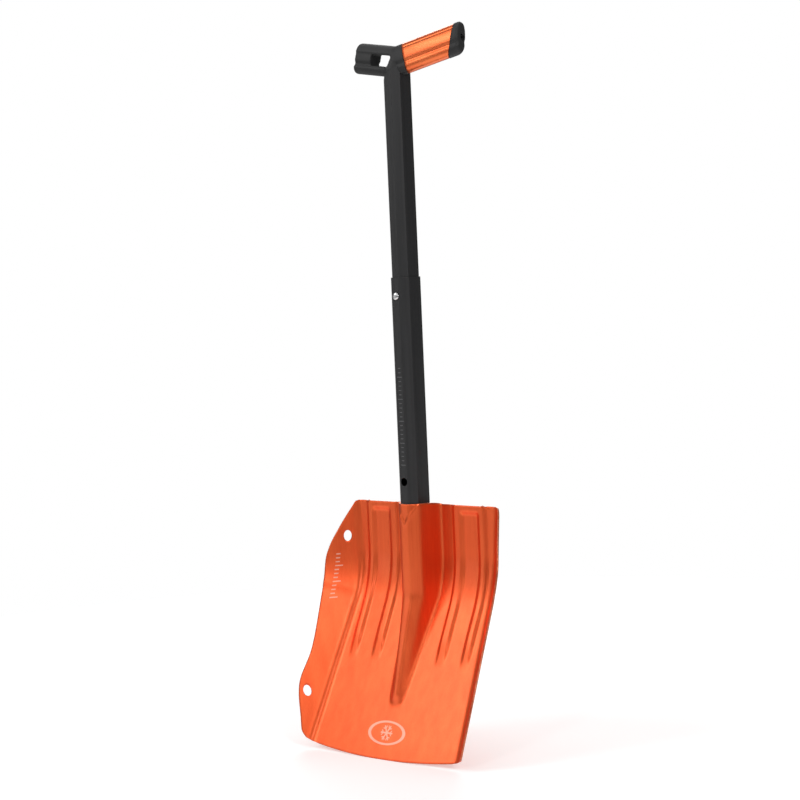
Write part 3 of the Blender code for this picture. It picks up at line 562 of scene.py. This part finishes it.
def wall_hole(height, facing, start=8, surface=TUBE_DEPTH / 2):
    """A cutter through one wall of a tube, with a broken outer edge."""
    profile = [(BUTTON_HOLE, 0), (BUTTON_HOLE, surface - start - 0.3),
               (BUTTON_HOLE + 0.45, surface - start + 0.15), (BUTTON_HOLE + 0.45, 16)]
    return turned("wall_cutter", profile, (0, start * facing, height), (0, facing, 0))


def make_lower_tube():
    piece = tube("lower_tube", 0, *LOWER_TUBE)
    carve(piece, wall_hole(BUTTON_HEIGHT, -1))
    carve(piece, wall_hole(BUTTON_HEIGHT - LENGTH_TRAVEL, -1))
    carve(piece, wall_hole(LOCK_HEIGHT, 1))
    shade(piece)
    return piece


def make_upper_tube():
    peak, drop = TAB_PEAK
    apex = GRIP_HEIGHT - drop
    piece = tube("upper_tube", UPPER_INSET, UPPER_TUBE_FOOT, apex)
    carve(piece, wall_hole(BUTTON_HEIGHT, -1, surface=TUBE_DEPTH / 2 - UPPER_INSET))
    wedge = [(peak, apex), (-TUBE_WIDTH, apex - (peak + TUBE_WIDTH) * TAB_SLOPE),
             (-TUBE_WIDTH, apex + TUBE_WIDTH), (peak, apex + TUBE_WIDTH)]
    rings = [[(x, y, z) for x, z in wedge] for y in (-TUBE_DEPTH, TUBE_DEPTH)]
    carve(piece, loft("slope_cutter", rings))
    carve(piece, grip_body("saddle_cutter", GAP))
    shade(piece)
    return piece


def snap_button(name, height, facing, cover, inset):
    """The head of a snap button: a turned dome on its shank, above a flat base."""
    wall = TUBE_DEPTH / 2 - inset - TUBE_WALL
    top = TUBE_DEPTH / 2 + cover + BUTTON_PROUD
    length = top - wall + GAP
    dome = [(BUTTON_RADIUS * math.cos(t), length - BUTTON_DOME + BUTTON_DOME * math.sin(t))
            for t in np.linspace(0, math.pi / 2 * 0.97, 14)]
    profile = [(BUTTON_BASE, -1.2), (BUTTON_BASE + 0.4, -0.9), (BUTTON_BASE + 0.4, 0),
               (BUTTON_RADIUS, 0), (BUTTON_RADIUS, length - BUTTON_DOME - 0.05)] + dome
    return turned(name, profile, (0, (wall - GAP) * facing, height), (0, facing, 0))


# -------------------------------------------------------------------- grip

def grip_outline(outset, waisted, points=96, sleeved=0):
    """Section of the grip as (depth, height), leaning foot forward.  A sleeved section
    has the extrusion's extra fine line below its top."""
    outline = []
    for i in range(points):
        turn = 2 * math.pi * (i + 0.5) / points
        c, s = math.cos(turn), math.sin(turn)
        y = ARM_THICKNESS / 2 * math.copysign(abs(c) ** GRIP_ROUNDNESS, c)
        z = ARM_HEIGHT / 2 * math.copysign(abs(s) ** GRIP_ROUNDNESS, s)
        height, width, depth = GROOVE
        y -= math.copysign(depth * math.exp(-((z - height) / width) ** 2), y)
        height, width, depth = SLEEVE_LINE
        y -= math.copysign(depth * sleeved * math.exp(-((z - height) / width) ** 2), y)
        dent = 1 / (1 + math.exp((abs(z) - WAIST_HALF_HEIGHT) / 0.5))
        y -= math.copysign(WAIST_DEPTH * waisted * dent, y)
        outline.append(Vector((y + ARM_SLANT * z, z)))
    moved = []
    for i, point in enumerate(outline):
        along = (outline[(i + 1) % points] - outline[i - 1]).normalized()
        moved.append(point + Vector((along.y, -along.x)) * outset)
    return moved


def arm_ring(outline, along, cut, side):
    tilt, yaw = cut
    turn = LEFT_RAISE if side < 0 else RIGHT_RAISE
    ring = []
    for y, z in outline:
        distance = along - z * math.tan(tilt) - y * math.tan(yaw)
        x = side * (distance * math.cos(turn) - z * math.sin(turn))
        ring.append((x, y, GRIP_HEIGHT + distance * math.sin(turn) + z * math.cos(turn)))
    return ring


def mitre_ring(outline):
    spread = (LEFT_RAISE + RIGHT_RAISE) / 2
    lean = (RIGHT_RAISE - LEFT_RAISE) / 2
    reach = 1 / math.cos(spread)
    return [(-z * reach * math.sin(lean), y, GRIP_HEIGHT + z * reach * math.cos(lean))
            for y, z in outline]


def grip_body(name, outset):
    plain, bare = grip_outline(outset, 0), grip_outline(outset, 1)
    rings = []
    for inward, onward in reversed(arc(LEFT_END_RADIUS, 0, math.pi / 2 * 0.93, 7)):
        along = LEFT_ARM - LEFT_END_RADIUS + onward + outset
        rings.append(arm_ring(grip_outline(outset - inward, 1), along, SQUARE, -1))
    rings += [arm_ring(bare, 6, SQUARE, -1), mitre_ring(plain),
              arm_ring(plain, SLEEVE_START + outset, SLEEVE_START_CUT, 1)]
    if outset:
        rings.append(arm_ring(plain, RIGHT_ARM, SQUARE, 1))
    else:
        tenon = grip_outline(-SLEEVE_WALL - GAP, 0)
        rings.append(arm_ring(tenon, SLEEVE_START, SLEEVE_START_CUT, 1))
        rings.append(arm_ring(tenon, RIGHT_ARM - CAP_SPIGOT - TENON_GAP, SLEEVE_END_CUT, 1))
    return loft(name, rings)


def make_grip_moulding():
    core = grip_body("grip_moulding", 0)
    inner = tube_outline(UPPER_INSET + TUBE_WALL + GAP)
    narrow, flat, peak = SPIGOT_TIP
    tip = [(x * narrow, y * flat) for x, y in inner]
    foot = GRIP_HEIGHT - ARM_HEIGHT / 2 - SPIGOT_LENGTH
    rings = [level([(x * SPIGOT_TAPER, y * SPIGOT_TAPER) for x, y in inner], foot),
             level(inner, foot + SPIGOT_LEAD),
             level(inner, GRIP_HEIGHT - TAB_PEAK[1] - SPIGOT_LEAD), level(tip, GRIP_HEIGHT + peak)]
    carve(core, loft("spigot", rings), 'UNION')
    left, right, half = WINDOW
    corners = [(left, -half), (right, -half), (right, half), (left, half)]
    outline = round_corners(corners, WINDOW_CORNER, 5)
    rings = []
    for y in (-ARM_HEIGHT, ARM_HEIGHT):
        rings.append([(x * math.cos(LEFT_RAISE) + z * math.sin(LEFT_RAISE), y,
                       GRIP_HEIGHT - x * math.sin(LEFT_RAISE) + z * math.cos(LEFT_RAISE))
                      for x, z in outline])
    carve(core, loft("window_cutter", rings))
    soften(core, GRIP_CELL, GRIP_ROUNDS)
    return core


def make_sleeve():
    """The extruded sleeve, with its wall's ends lightly broken."""
    rings = []
    ends = ((SLEEVE_START + GAP, SLEEVE_START_CUT, 1), (RIGHT_ARM, SLEEVE_END_CUT, -1))
    for inset, setback in ((0.3, 0), (0, 0.3)):
        along, cut, way = ends[0]
        rings.append(arm_ring(grip_outline(-inset, 0, 144, 1), along + setback * way, cut, 1))
    for step in range(1, 24):
        share = step / 24
        cut = [a + (b - a) * share for a, b in zip(SLEEVE_START_CUT, SLEEVE_END_CUT)]
        along = ends[0][0] + (ends[1][0] - ends[0][0]) * share
        rings.append(arm_ring(grip_outline(0, 0, 144, 1), along, cut, 1))
    for inset, setback in ((0, 0.3), (0.3, 0), (SLEEVE_WALL, 0)):
        along, cut, way = ends[1]
        rings.append(arm_ring(grip_outline(-inset, 0, 144, 1), along + setback * way, cut, 1))
    rings.append(arm_ring(grip_outline(-SLEEVE_WALL, 0, 144, 1), ends[0][0], SLEEVE_START_CUT, 1))
    return loft("sleeve_extrusion", rings, closed=True, sharp=50)


def make_cap():
    """The moulded end cap: a lip against the sleeve, then a full round end."""
    spigot = grip_outline(-SLEEVE_WALL - GAP, 0)
    rings = [arm_ring(spigot, RIGHT_ARM - CAP_SPIGOT, SLEEVE_END_CUT, 1),
             arm_ring(spigot, RIGHT_ARM + GAP, SLEEVE_END_CUT, 1)]
    stations = [(-0.1, 0.02), (0.25, 0.05), (0.3, 0.1), (0.3, 0.25), (0.3, 0.42)]
    for inward, onward in arc(CAP_END_RADIUS, 0, math.pi / 2 * 0.94, 9):
        stations.append((0.3 - inward, 1 - (CAP_END_RADIUS - onward) / CAP_LENGTH))
    for outset, share in stations:
        cut = [a + (b - a) * share for a, b in zip(SLEEVE_END_CUT, CAP_END)]
        rings.append(arm_ring(grip_outline(outset, 0), RIGHT_ARM + CAP_LENGTH * share, cut, 1))
    cap = loft("cap_moulding", rings, sharp=60)
    direction = Vector((-math.cos(RIGHT_RAISE), 0, -math.sin(RIGHT_RAISE)))
    start = Vector((0, 0, GRIP_HEIGHT)) - direction * (RIGHT_ARM + CAP_LENGTH)
    profile = [(4.5, -3), (4.5, -0.4), (3.9, 0.3), (3.9, SCREW_SINK), (2.1, SCREW_SINK), (2.1, 40)]
    carve(cap, turned("screw_cutter", profile, start, direction, 32))
    shade(cap, 50)
    return cap


def make_rivet():
    """A pan-headed rivet through the tube's back wall into the grip's spigot."""
    face = TUBE_DEPTH / 2 - UPPER_INSET + GAP
    wide, tall = RIVET_HEAD
    head = [(wide * math.cos(t), tall * math.sin(t))
            for t in np.linspace(0, math.pi / 2 * 0.96, 10)]
    profile = [(RIVET_RADIUS, -RIVET_SHANK), (RIVET_RADIUS, 0)] + head
    return turned("rivet_heads", profile, (0, face, RIVET_HEIGHT), (0, 1, 0), sides=36)


# --------------------------------------------------------------- finishes

class Value:
    """A shader value that takes part in arithmetic."""

    def __init__(self, finish, socket):
        self.finish = finish
        self.socket = socket

    def step(self, operation, *others):
        sockets = dict(enumerate((self, *others)))
        return self.finish.node('ShaderNodeMath', {'operation': operation}, sockets)

    def __add__(self, other):
        return self.step('ADD', other)

    __radd__ = __add__

    def __mul__(self, other):
        return self.step('MULTIPLY', other)

    __rmul__ = __mul__

    def __sub__(self, other):
        return self.step('SUBTRACT', other)

    def __rsub__(self, other):
        return (self * -1) + other

    def __pow__(self, other):
        return self.step('POWER', other)

    def __lt__(self, other):
        return self.step('LESS_THAN', other)

    def __gt__(self, other):
        return self.step('GREATER_THAN', other)


class Finish:
    """A material and the nodes that make it."""

    def __init__(self, name, **constants):
        self.material = bpy.data.materials.new(name)
        self.material.use_nodes = True
        self.tree = self.material.node_tree
        self.shader = self.tree.nodes["Principled BSDF"]
        for key, value in constants.items():
            self.put(self.shader.inputs[key.replace("_", " ")], value)

    def node(self, kind, settings=None, sockets=None, output=0):
        node = self.tree.nodes.new(kind)
        for key, value in (settings or {}).items():
            setattr(node, key, value)
        for key, value in (sockets or {}).items():
            self.put(node.inputs[key], value)
        return Value(self, node.outputs[output])

    def put(self, socket, value):
        if isinstance(value, Value):
            self.tree.links.new(value.socket, socket)
        else:
            socket.default_value = value

    def feed(self, **values):
        for key, value in values.items():
            self.put(self.shader.inputs[key.replace("_", " ")], value)

    def place(self, size=(1, 1, 1), shift=(0, 0, 0)):
        """Place on the piece, in units of a size given in millimetres."""
        scale = [1 / (side * MM) for side in size]
        start = self.node('ShaderNodeTexCoord', output=3)
        moved = self.node('ShaderNodeVectorMath', {'operation': 'SUBTRACT'}, {0: start, 1: shift})
        return self.node('ShaderNodeVectorMath', {'operation': 'MULTIPLY'}, {0: moved, 1: scale})

    def parts(self, vector):
        return [self.node('ShaderNodeSeparateXYZ', sockets={0: vector}, output=i)
                for i in range(3)]

    def noise(self, size, detail=3, roughness=0.55):
        sockets = {'Vector': self.place(size), 'Scale': 1, 'Detail': detail,
                   'Roughness': roughness}
        return self.node('ShaderNodeTexNoise', sockets=sockets)

    def spots(self, size):
        sockets = {'Vector': self.place(size), 'Scale': 1}
        return self.node('ShaderNodeTexVoronoi', sockets=sockets)

    def limit(self, value, low, high):
        """A value spread from 0 at low to 1 at high."""
        sockets = {'Value': value, 'From Min': low, 'From Max': high}
        return self.node('ShaderNodeMapRange', {'clamp': True}, sockets)

    def blend(self, share, first, second):
        """A colour between two others."""
        settings = {'data_type': 'RGBA'}
        return self.node('ShaderNodeMix', settings, {0: share, 6: first, 7: second}, output=2)

    def bump(self, height, strength, depth):
        sockets = {'Height': height, 'Strength': strength, 'Distance': depth * MM}
        return self.node('ShaderNodeBump', sockets=sockets)

    def attribute(self, name):
        return self.node('ShaderNodeAttribute', {'attribute_name': name}, output=2)


def colour(red, green, blue):
    return (red, green, blue, 1)


def blade_marks(finish):
    """An oval ring round a plain snow crystal near the tip, and a row of plain ticks on
    the left wing, etched pale through the dye."""
    x, _, z = finish.parts(finish.place((1, 1, 1)))
    wide, high = OVAL_SIZE
    across, up = (x - OVAL_PLACE[0]) * (1 / wide), (z - OVAL_PLACE[1]) * (1 / high)
    reach = (across * across + up * up) ** 0.5
    etched = (reach > OVAL_INNER) * (reach < 1)
    length, half = CRYSTAL_ARM
    place, thick, out = CRYSTAL_BRANCH
    across, up = x - OVAL_PLACE[0], z - OVAL_PLACE[1]
    for turn in (0, math.pi / 3, 2 * math.pi / 3):
        along = across * math.cos(turn) + up * math.sin(turn)
        aside = across * -math.sin(turn) + up * math.cos(turn)
        along, aside = along.step('ABSOLUTE'), aside.step('ABSOLUTE')
        arm = (aside < half) * (along < length)
        branch = ((along - aside * 0.7 - place).step('ABSOLUTE') < thick) * (aside < out)
        etched = etched.step('MAXIMUM', arm.step('MAXIMUM', branch))
    low, top = WING_TICKS
    count = (z - low) * (1 / TICK_STEP)
    outer, inner, more = TICK_COLUMN
    long_tick = ((count * 0.25).step('FRACT') < 0.24) * more
    tick = (count.step('FRACT') < 0.3) * (x > outer) * (x < inner + long_tick)
    etched = etched.step('MAXIMUM', tick * (z > low) * (z < top))
    return etched * finish.attribute("front")


def orange_anodised(name, grain, dye_and_sheen_tones, rim=False, marked=False):
    """Dyed satin anodising over drawn aluminium, with a grain along one direction."""
    finish = Finish(name, Coat_Roughness=0.22, Coat_IOR=1.6, Specular_IOR_Level=0.5)
    long_grain = finish.noise(grain, 5, 0.6)
    wide_grain = finish.noise([side * 9 for side in grain], 3, 0.5)
    cloud = finish.noise((42, 42, 60), 2, 0.5)
    speck = finish.noise((0.5, 0.5, 0.5), 2, 0.6)
    tone = finish.limit(long_grain * 0.4 + wide_grain * 0.45 + cloud * 0.15, 0.36, 0.64)
    paint = finish.blend(tone, *dye_and_sheen_tones)
    rough = 0.30 + long_grain * 0.08 + speck * 0.06
    metal = 0.84 + cloud * 0.06
    if rim:
        worn = finish.attribute("rim") * finish.limit(finish.noise((3, 3, 3)), 0.3, 0.7)
        edge = finish.blend(worn, colour(0.30, 0.055, 0.02), colour(0.55, 0.22, 0.12))
        paint = finish.blend(finish.attribute("rim") * 0.8, paint, edge)
    if marked:
        etched = blade_marks(finish) * (0.6 + speck * 0.25)
        paint = finish.blend(etched, paint, colour(0.86, 0.52, 0.40))
        rough = rough + etched * 0.15
        metal = metal - etched * 0.4
    finish.feed(Base_Color=paint, Roughness=rough, Metallic=metal, Coat_Weight=0.12 + speck * 0.1)
    finish.feed(Normal=finish.bump(long_grain * 0.5 + speck * 0.5, 0.16, 0.06))
    return finish


def depth_ticks(finish):
    """A plain scale of fine ticks down the front face of the lower tube."""
    x, y, z = finish.parts(finish.place((1, 1, 1), (0, SHAFT_Y, 0)))
    low, top = TUBE_TICKS
    count = (z - low) * (1 / TUBE_TICK_STEP)
    long_tick = ((count * 0.2).step('FRACT') < 0.19) * 1.6
    tick = (count.step('FRACT') < 0.14) * (x.step('ABSOLUTE') < 1.8 + long_tick)
    return tick * (z > low) * (z < top) * (y < 1 - TUBE_DEPTH / 2)


def black_anodised(name, wear, marked=False):
    """Black satin anodising on drawn tube: die lines along it, faint rubbed patches."""
    finish = Finish(name, Coat_Roughness=0.3, Specular_IOR_Level=0.55)
    lines = finish.noise((0.5, 0.5, 160), 4, 0.6)
    wide = finish.noise((5, 5, 220), 3, 0.5)
    speck = finish.noise((0.45, 0.45, 0.6), 2, 0.6)
    rubbed = finish.limit(finish.noise((9, 9, 30), 5, 0.65), 0.58, 0.78) * wear
    scratch = finish.limit(finish.noise((0.35, 0.35, 26), 2, 0.5), 0.68, 0.76) * wear
    tone = finish.limit(wide * 0.6 + lines * 0.4, 0.35, 0.65)
    dye = finish.blend(tone, colour(0.010, 0.010, 0.011), colour(0.021, 0.021, 0.022))
    dye = finish.blend(rubbed * 0.35 + scratch * 0.5, dye, colour(0.060, 0.060, 0.062))
    if marked:
        dye = finish.blend(depth_ticks(finish) * 0.7, dye, colour(0.16, 0.16, 0.165))
    finish.feed(Base_Color=dye, Metallic=0.25 + rubbed * 0.2)
    finish.feed(Roughness=0.40 + lines * 0.08 + speck * 0.06 - scratch * 0.1)
    finish.feed(Coat_Weight=0.05 + wide * 0.08)
    finish.feed(Normal=finish.bump(lines * 0.6 + speck * 0.4, 0.18, 0.05))
    return finish.material


def moulded_nylon(name, shade_of=0.018):
    """Black glass-filled nylon with the fine texture of its mould."""
    finish = Finish(name, Specular_IOR_Level=0.45)
    spark = finish.spots((0.55, 0.55, 0.55))
    pebble = finish.noise((0.8, 0.8, 0.8), 3, 0.6)
    flow = finish.noise((14, 14, 14), 3, 0.5)
    dye = finish.blend(finish.limit(flow * 0.6 + pebble * 0.4, 0.35, 0.65),
                       colour(shade_of * 0.75, shade_of * 0.75, shade_of * 0.78),
                       colour(shade_of * 1.3, shade_of * 1.3, shade_of * 1.34))
    finish.feed(Base_Color=dye, Roughness=0.50 + pebble * 0.12 + flow * 0.06)
    finish.feed(Normal=finish.bump(spark * 0.5 + pebble * 0.5, 0.30, 0.09))
    return finish.material


def turned_steel(name, centre, tone=0.72):
    """Bright steel with the fine rings that turning leaves round its axis."""
    finish = Finish(name, Specular_IOR_Level=0.5)
    x, _, z = finish.parts(finish.place((1, 1, 1), centre))
    radius = (x * x + z * z) ** 0.5
    rings = (radius * 26).step('SINE') * 0.5 + 0.5
    haze = finish.noise((1.6, 1.6, 1.6), 4, 0.6)
    metal = finish.blend(finish.limit(haze * 0.7 + rings * 0.3, 0.3, 0.75),
                         colour(tone * 0.78, tone * 0.78, tone * 0.80),
                         colour(tone * 1.15, tone * 1.15, tone * 1.14))
    finish.feed(Base_Color=metal, Metallic=0.96 + haze * 0.04, Roughness=0.20 + haze * 0.14)
    finish.feed(Normal=finish.bump(rings * 0.7 + haze * 0.3, 0.25, 0.03))
    return finish.material


def plated_steel(name, tone, tint):
    """Cold-worked steel with a thin plated or blued skin, streaked by handling."""
    finish = Finish(name, Specular_IOR_Level=0.5)
    streak = finish.noise((0.7, 0.7, 9), 4, 0.6)
    haze = finish.noise((3.5, 3.5, 3.5), 4, 0.6)
    skin = finish.blend(finish.limit(streak * 0.5 + haze * 0.5, 0.3, 0.7),
                        colour(tone * 0.7, tone * 0.7, tone * 0.72),
                        colour(tone * tint[0], tone * tint[1], tone * tint[2]))
    finish.feed(Base_Color=skin, Metallic=0.92 + haze * 0.06, Roughness=0.28 + streak * 0.2)
    finish.feed(Normal=finish.bump(streak, 0.2, 0.04))
    return finish.material


def pale_floor(name):
    finish = Finish(name, Specular_IOR_Level=0.2, Emission_Color=colour(1, 1, 1),
                    Emission_Strength=0.22)
    mottle = finish.noise((400, 400, 400), 2, 0.5)
    finish.feed(Base_Color=finish.blend(mottle, colour(0.90, 0.90, 0.90), colour(0.93, 0.93, 0.93)))
    finish.feed(Roughness=0.85 + mottle * 0.05)
    return finish.material


# ---------------------------------------------------------------- assembly

def dress_cad_node(node, finish):
    """A CAD node that keeps its shape gets its finish."""
    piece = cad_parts[node]
    piece.data.materials.clear()
    piece.data.materials.append(finish)


def build_shovel():
    grain = (1.1, 1.1, 70)
    dye_and_sheen_tones = (colour(0.80, 0.098, 0.022), colour(0.90, 0.140, 0.036))
    orange_front = orange_anodised("orange_anodised_blade", grain, dye_and_sheen_tones, rim=True,
                                   marked=True).material
    orange_sheet = orange_anodised("orange_anodised_sheet", grain, dye_and_sheen_tones, rim=True).material
    # The sleeve's tone pair is lighter than the blade's dye: a painted highlight that stands in for
    # the bright sheen on its flat face.
    dye_and_sheen_tones = (colour(0.88, 0.145, 0.036), colour(0.98, 0.235, 0.070))
    orange_tube = orange_anodised("orange_anodised_extrusion", (60, 0.9, 0.9), dye_and_sheen_tones).material
    lower_black = black_anodised("black_anodised_lower_tube", 0.5, marked=True)
    upper_black = black_anodised("black_anodised_upper_tube", 0.8)
    nylon = moulded_nylon("black_nylon")
    cap_nylon = moulded_nylon("black_nylon_cap", 0.016)
    hidden_nylon = moulded_nylon("grey_nylon_plugs", 0.035)
    rivet_black = black_anodised("black_rivet", 1)
    spring = plated_steel("blued_spring_steel", 0.42, (1, 1.02, 1.15))
    black_screw = plated_steel("blackened_screw_steel", 0.05, (1.05, 1.05, 1.1))

    attach(make_blade(), "blade", ["blade"], orange_front)
    attach(make_back_plate(), "blade", ["socket_back_plate"], orange_sheet)
    for side in (-1, 1):
        attach(make_weld(side), "blade", [], orange_sheet)
    attach(make_lower_tube(), "lower_shaft", ["lower_shaft_tube"], lower_black)
    attach(make_upper_tube(), "upper_shaft", ["upper_shaft_tube"], upper_black)
    head = snap_button("length_button_head", BUTTON_HEIGHT, -1, 0, UPPER_INSET)
    steel = turned_steel("turned_steel_front", (0, 0, BUTTON_HEIGHT * MM))
    attach(head, "length_press", ["length_button"], steel)
    head = snap_button("lock_button_head", LOCK_HEIGHT, 1, SOCKET_GAP + SHEET, 0)
    steel = turned_steel("turned_steel_back", (0, 0, LOCK_HEIGHT * MM))
    attach(head, "blade_lock", ["blade_lock_button"], steel)
    attach(make_grip_moulding(), "upper_shaft", ["grip_core"], nylon)
    attach(make_sleeve(), "upper_shaft", ["grip_sleeve"], orange_tube)
    attach(make_cap(), "upper_shaft", ["grip_end_cap"], cap_nylon)
    attach(make_rivet(), "upper_shaft", ["grip_rivet"], rivet_black)
    dress_cad_node("grip_cap_screw", black_screw)
    dress_cad_node("lower_tube_plug", hidden_nylon)
    dress_cad_node("upper_tube_guide", hidden_nylon)
    dress_cad_node("blade_lock_spring", spring)
    dress_cad_node("length_button_spring", spring)


# ------------------------------------------------------------------ studio

LENS, SENSOR = 94.5, 36
CAMERA_PLACE = (1.5244, SHAFT_Y - 1.836, 0.5622)
CAMERA_RIGHT = (0.7672, 0.6399, -0.0430)
CAMERA_AHEAD = (-0.6413, 0.7643, -0.0680)
FLOOR_REACH, FLOOR_STEPS = 1.25, 96
ROOM_LIGHT = 0.20                   # the white room's share in lighting the shovel
# name, place, height aimed at, size, watts
SOFT_BOXES = (
    ("key_soft_box", (-1.5, -2.1, 2.2), 0.35, (1.3, 1.5), 27),
    ("right_soft_box", (2.4, -1.2, 1.8), 0.3, (0.8, 1.1), 27),
    ("front_soft_box", (0.6, -2.8, 1.5), 0.15, (0.3, 0.7), 9),
    ("low_soft_box", (-1.9, -2.3, 0.7), 0.5, (0.4, 1.5), 4),
    ("top_soft_box", (0, 0.3, 2.6), 0.3, (2.2, 2.2), 24),
    ("rear_soft_box", (-1.6, 2.2, 1.8), 0.4, (1.6, 1.6), 34),
)


def soft_box(name, place, target, size, power):
    lamp = bpy.data.lights.new(name, 'AREA')
    lamp.shape = 'RECTANGLE'
    lamp.size, lamp.size_y = size
    lamp.energy = power
    item = bpy.data.objects.new(name, lamp)
    bpy.context.scene.collection.objects.link(item)
    item.location = place
    aim = Vector(target) - Vector(place)
    item.rotation_mode = 'QUATERNION'
    item.rotation_quaternion = aim.to_track_quat('-Z', 'Y')
    item.visible_camera = False


def set_studio():
    world = bpy.data.worlds.new("white_studio")
    bpy.context.scene.world = world
    world.use_nodes = True
    tree = world.node_tree
    backdrop = tree.nodes["Background"]
    backdrop.inputs["Color"].default_value = (1, 1, 1, 1)
    backdrop.inputs["Strength"].default_value = 1.0
    dim = tree.nodes.new('ShaderNodeBackground')
    dim.inputs["Color"].default_value = (1, 1, 1, 1)
    dim.inputs["Strength"].default_value = ROOM_LIGHT
    path = tree.nodes.new('ShaderNodeLightPath')
    mix = tree.nodes.new('ShaderNodeMixShader')
    tree.links.new(path.outputs["Is Camera Ray"], mix.inputs[0])
    tree.links.new(dim.outputs[0], mix.inputs[1])
    tree.links.new(backdrop.outputs[0], mix.inputs[2])
    tree.links.new(mix.outputs[0], tree.nodes["World Output"].inputs[0])

    mesh = bpy.data.meshes.new("floor")
    turns = [2 * math.pi * i / FLOOR_STEPS for i in range(FLOOR_STEPS)]
    rim = [(FLOOR_REACH * math.cos(t), FLOOR_REACH * math.sin(t), 0) for t in turns]
    mesh.from_pydata(rim, [], [tuple(range(FLOOR_STEPS))])
    floor = bpy.data.objects.new("floor", mesh)
    bpy.context.scene.collection.objects.link(floor)
    mesh.materials.append(pale_floor("pale_floor"))

    for name, place, height, size, power in SOFT_BOXES:
        soft_box(name, place, (0, 0, height), size, power)


def set_camera():
    """A long lens at chest height, turned 40 degrees from the front of the blade."""
    lens = bpy.data.cameras.new("camera")
    lens.lens = LENS
    lens.sensor_width = SENSOR
    lens.clip_end = 100
    item = bpy.data.objects.new("camera", lens)
    bpy.context.scene.collection.objects.link(item)
    right = Vector(CAMERA_RIGHT).normalized()
    ahead = Vector(CAMERA_AHEAD)
    ahead = (ahead - right * ahead.dot(right)).normalized()
    upward = right.cross(ahead)
    turn = Matrix((right, upward, -ahead)).transposed().to_4x4()
    item.matrix_world = Matrix.Translation(CAMERA_PLACE) @ turn
    bpy.context.scene.camera = item
    bpy.context.scene.view_settings.view_transform = 'Standard'


set_camera()
build_shovel()
set_studio()
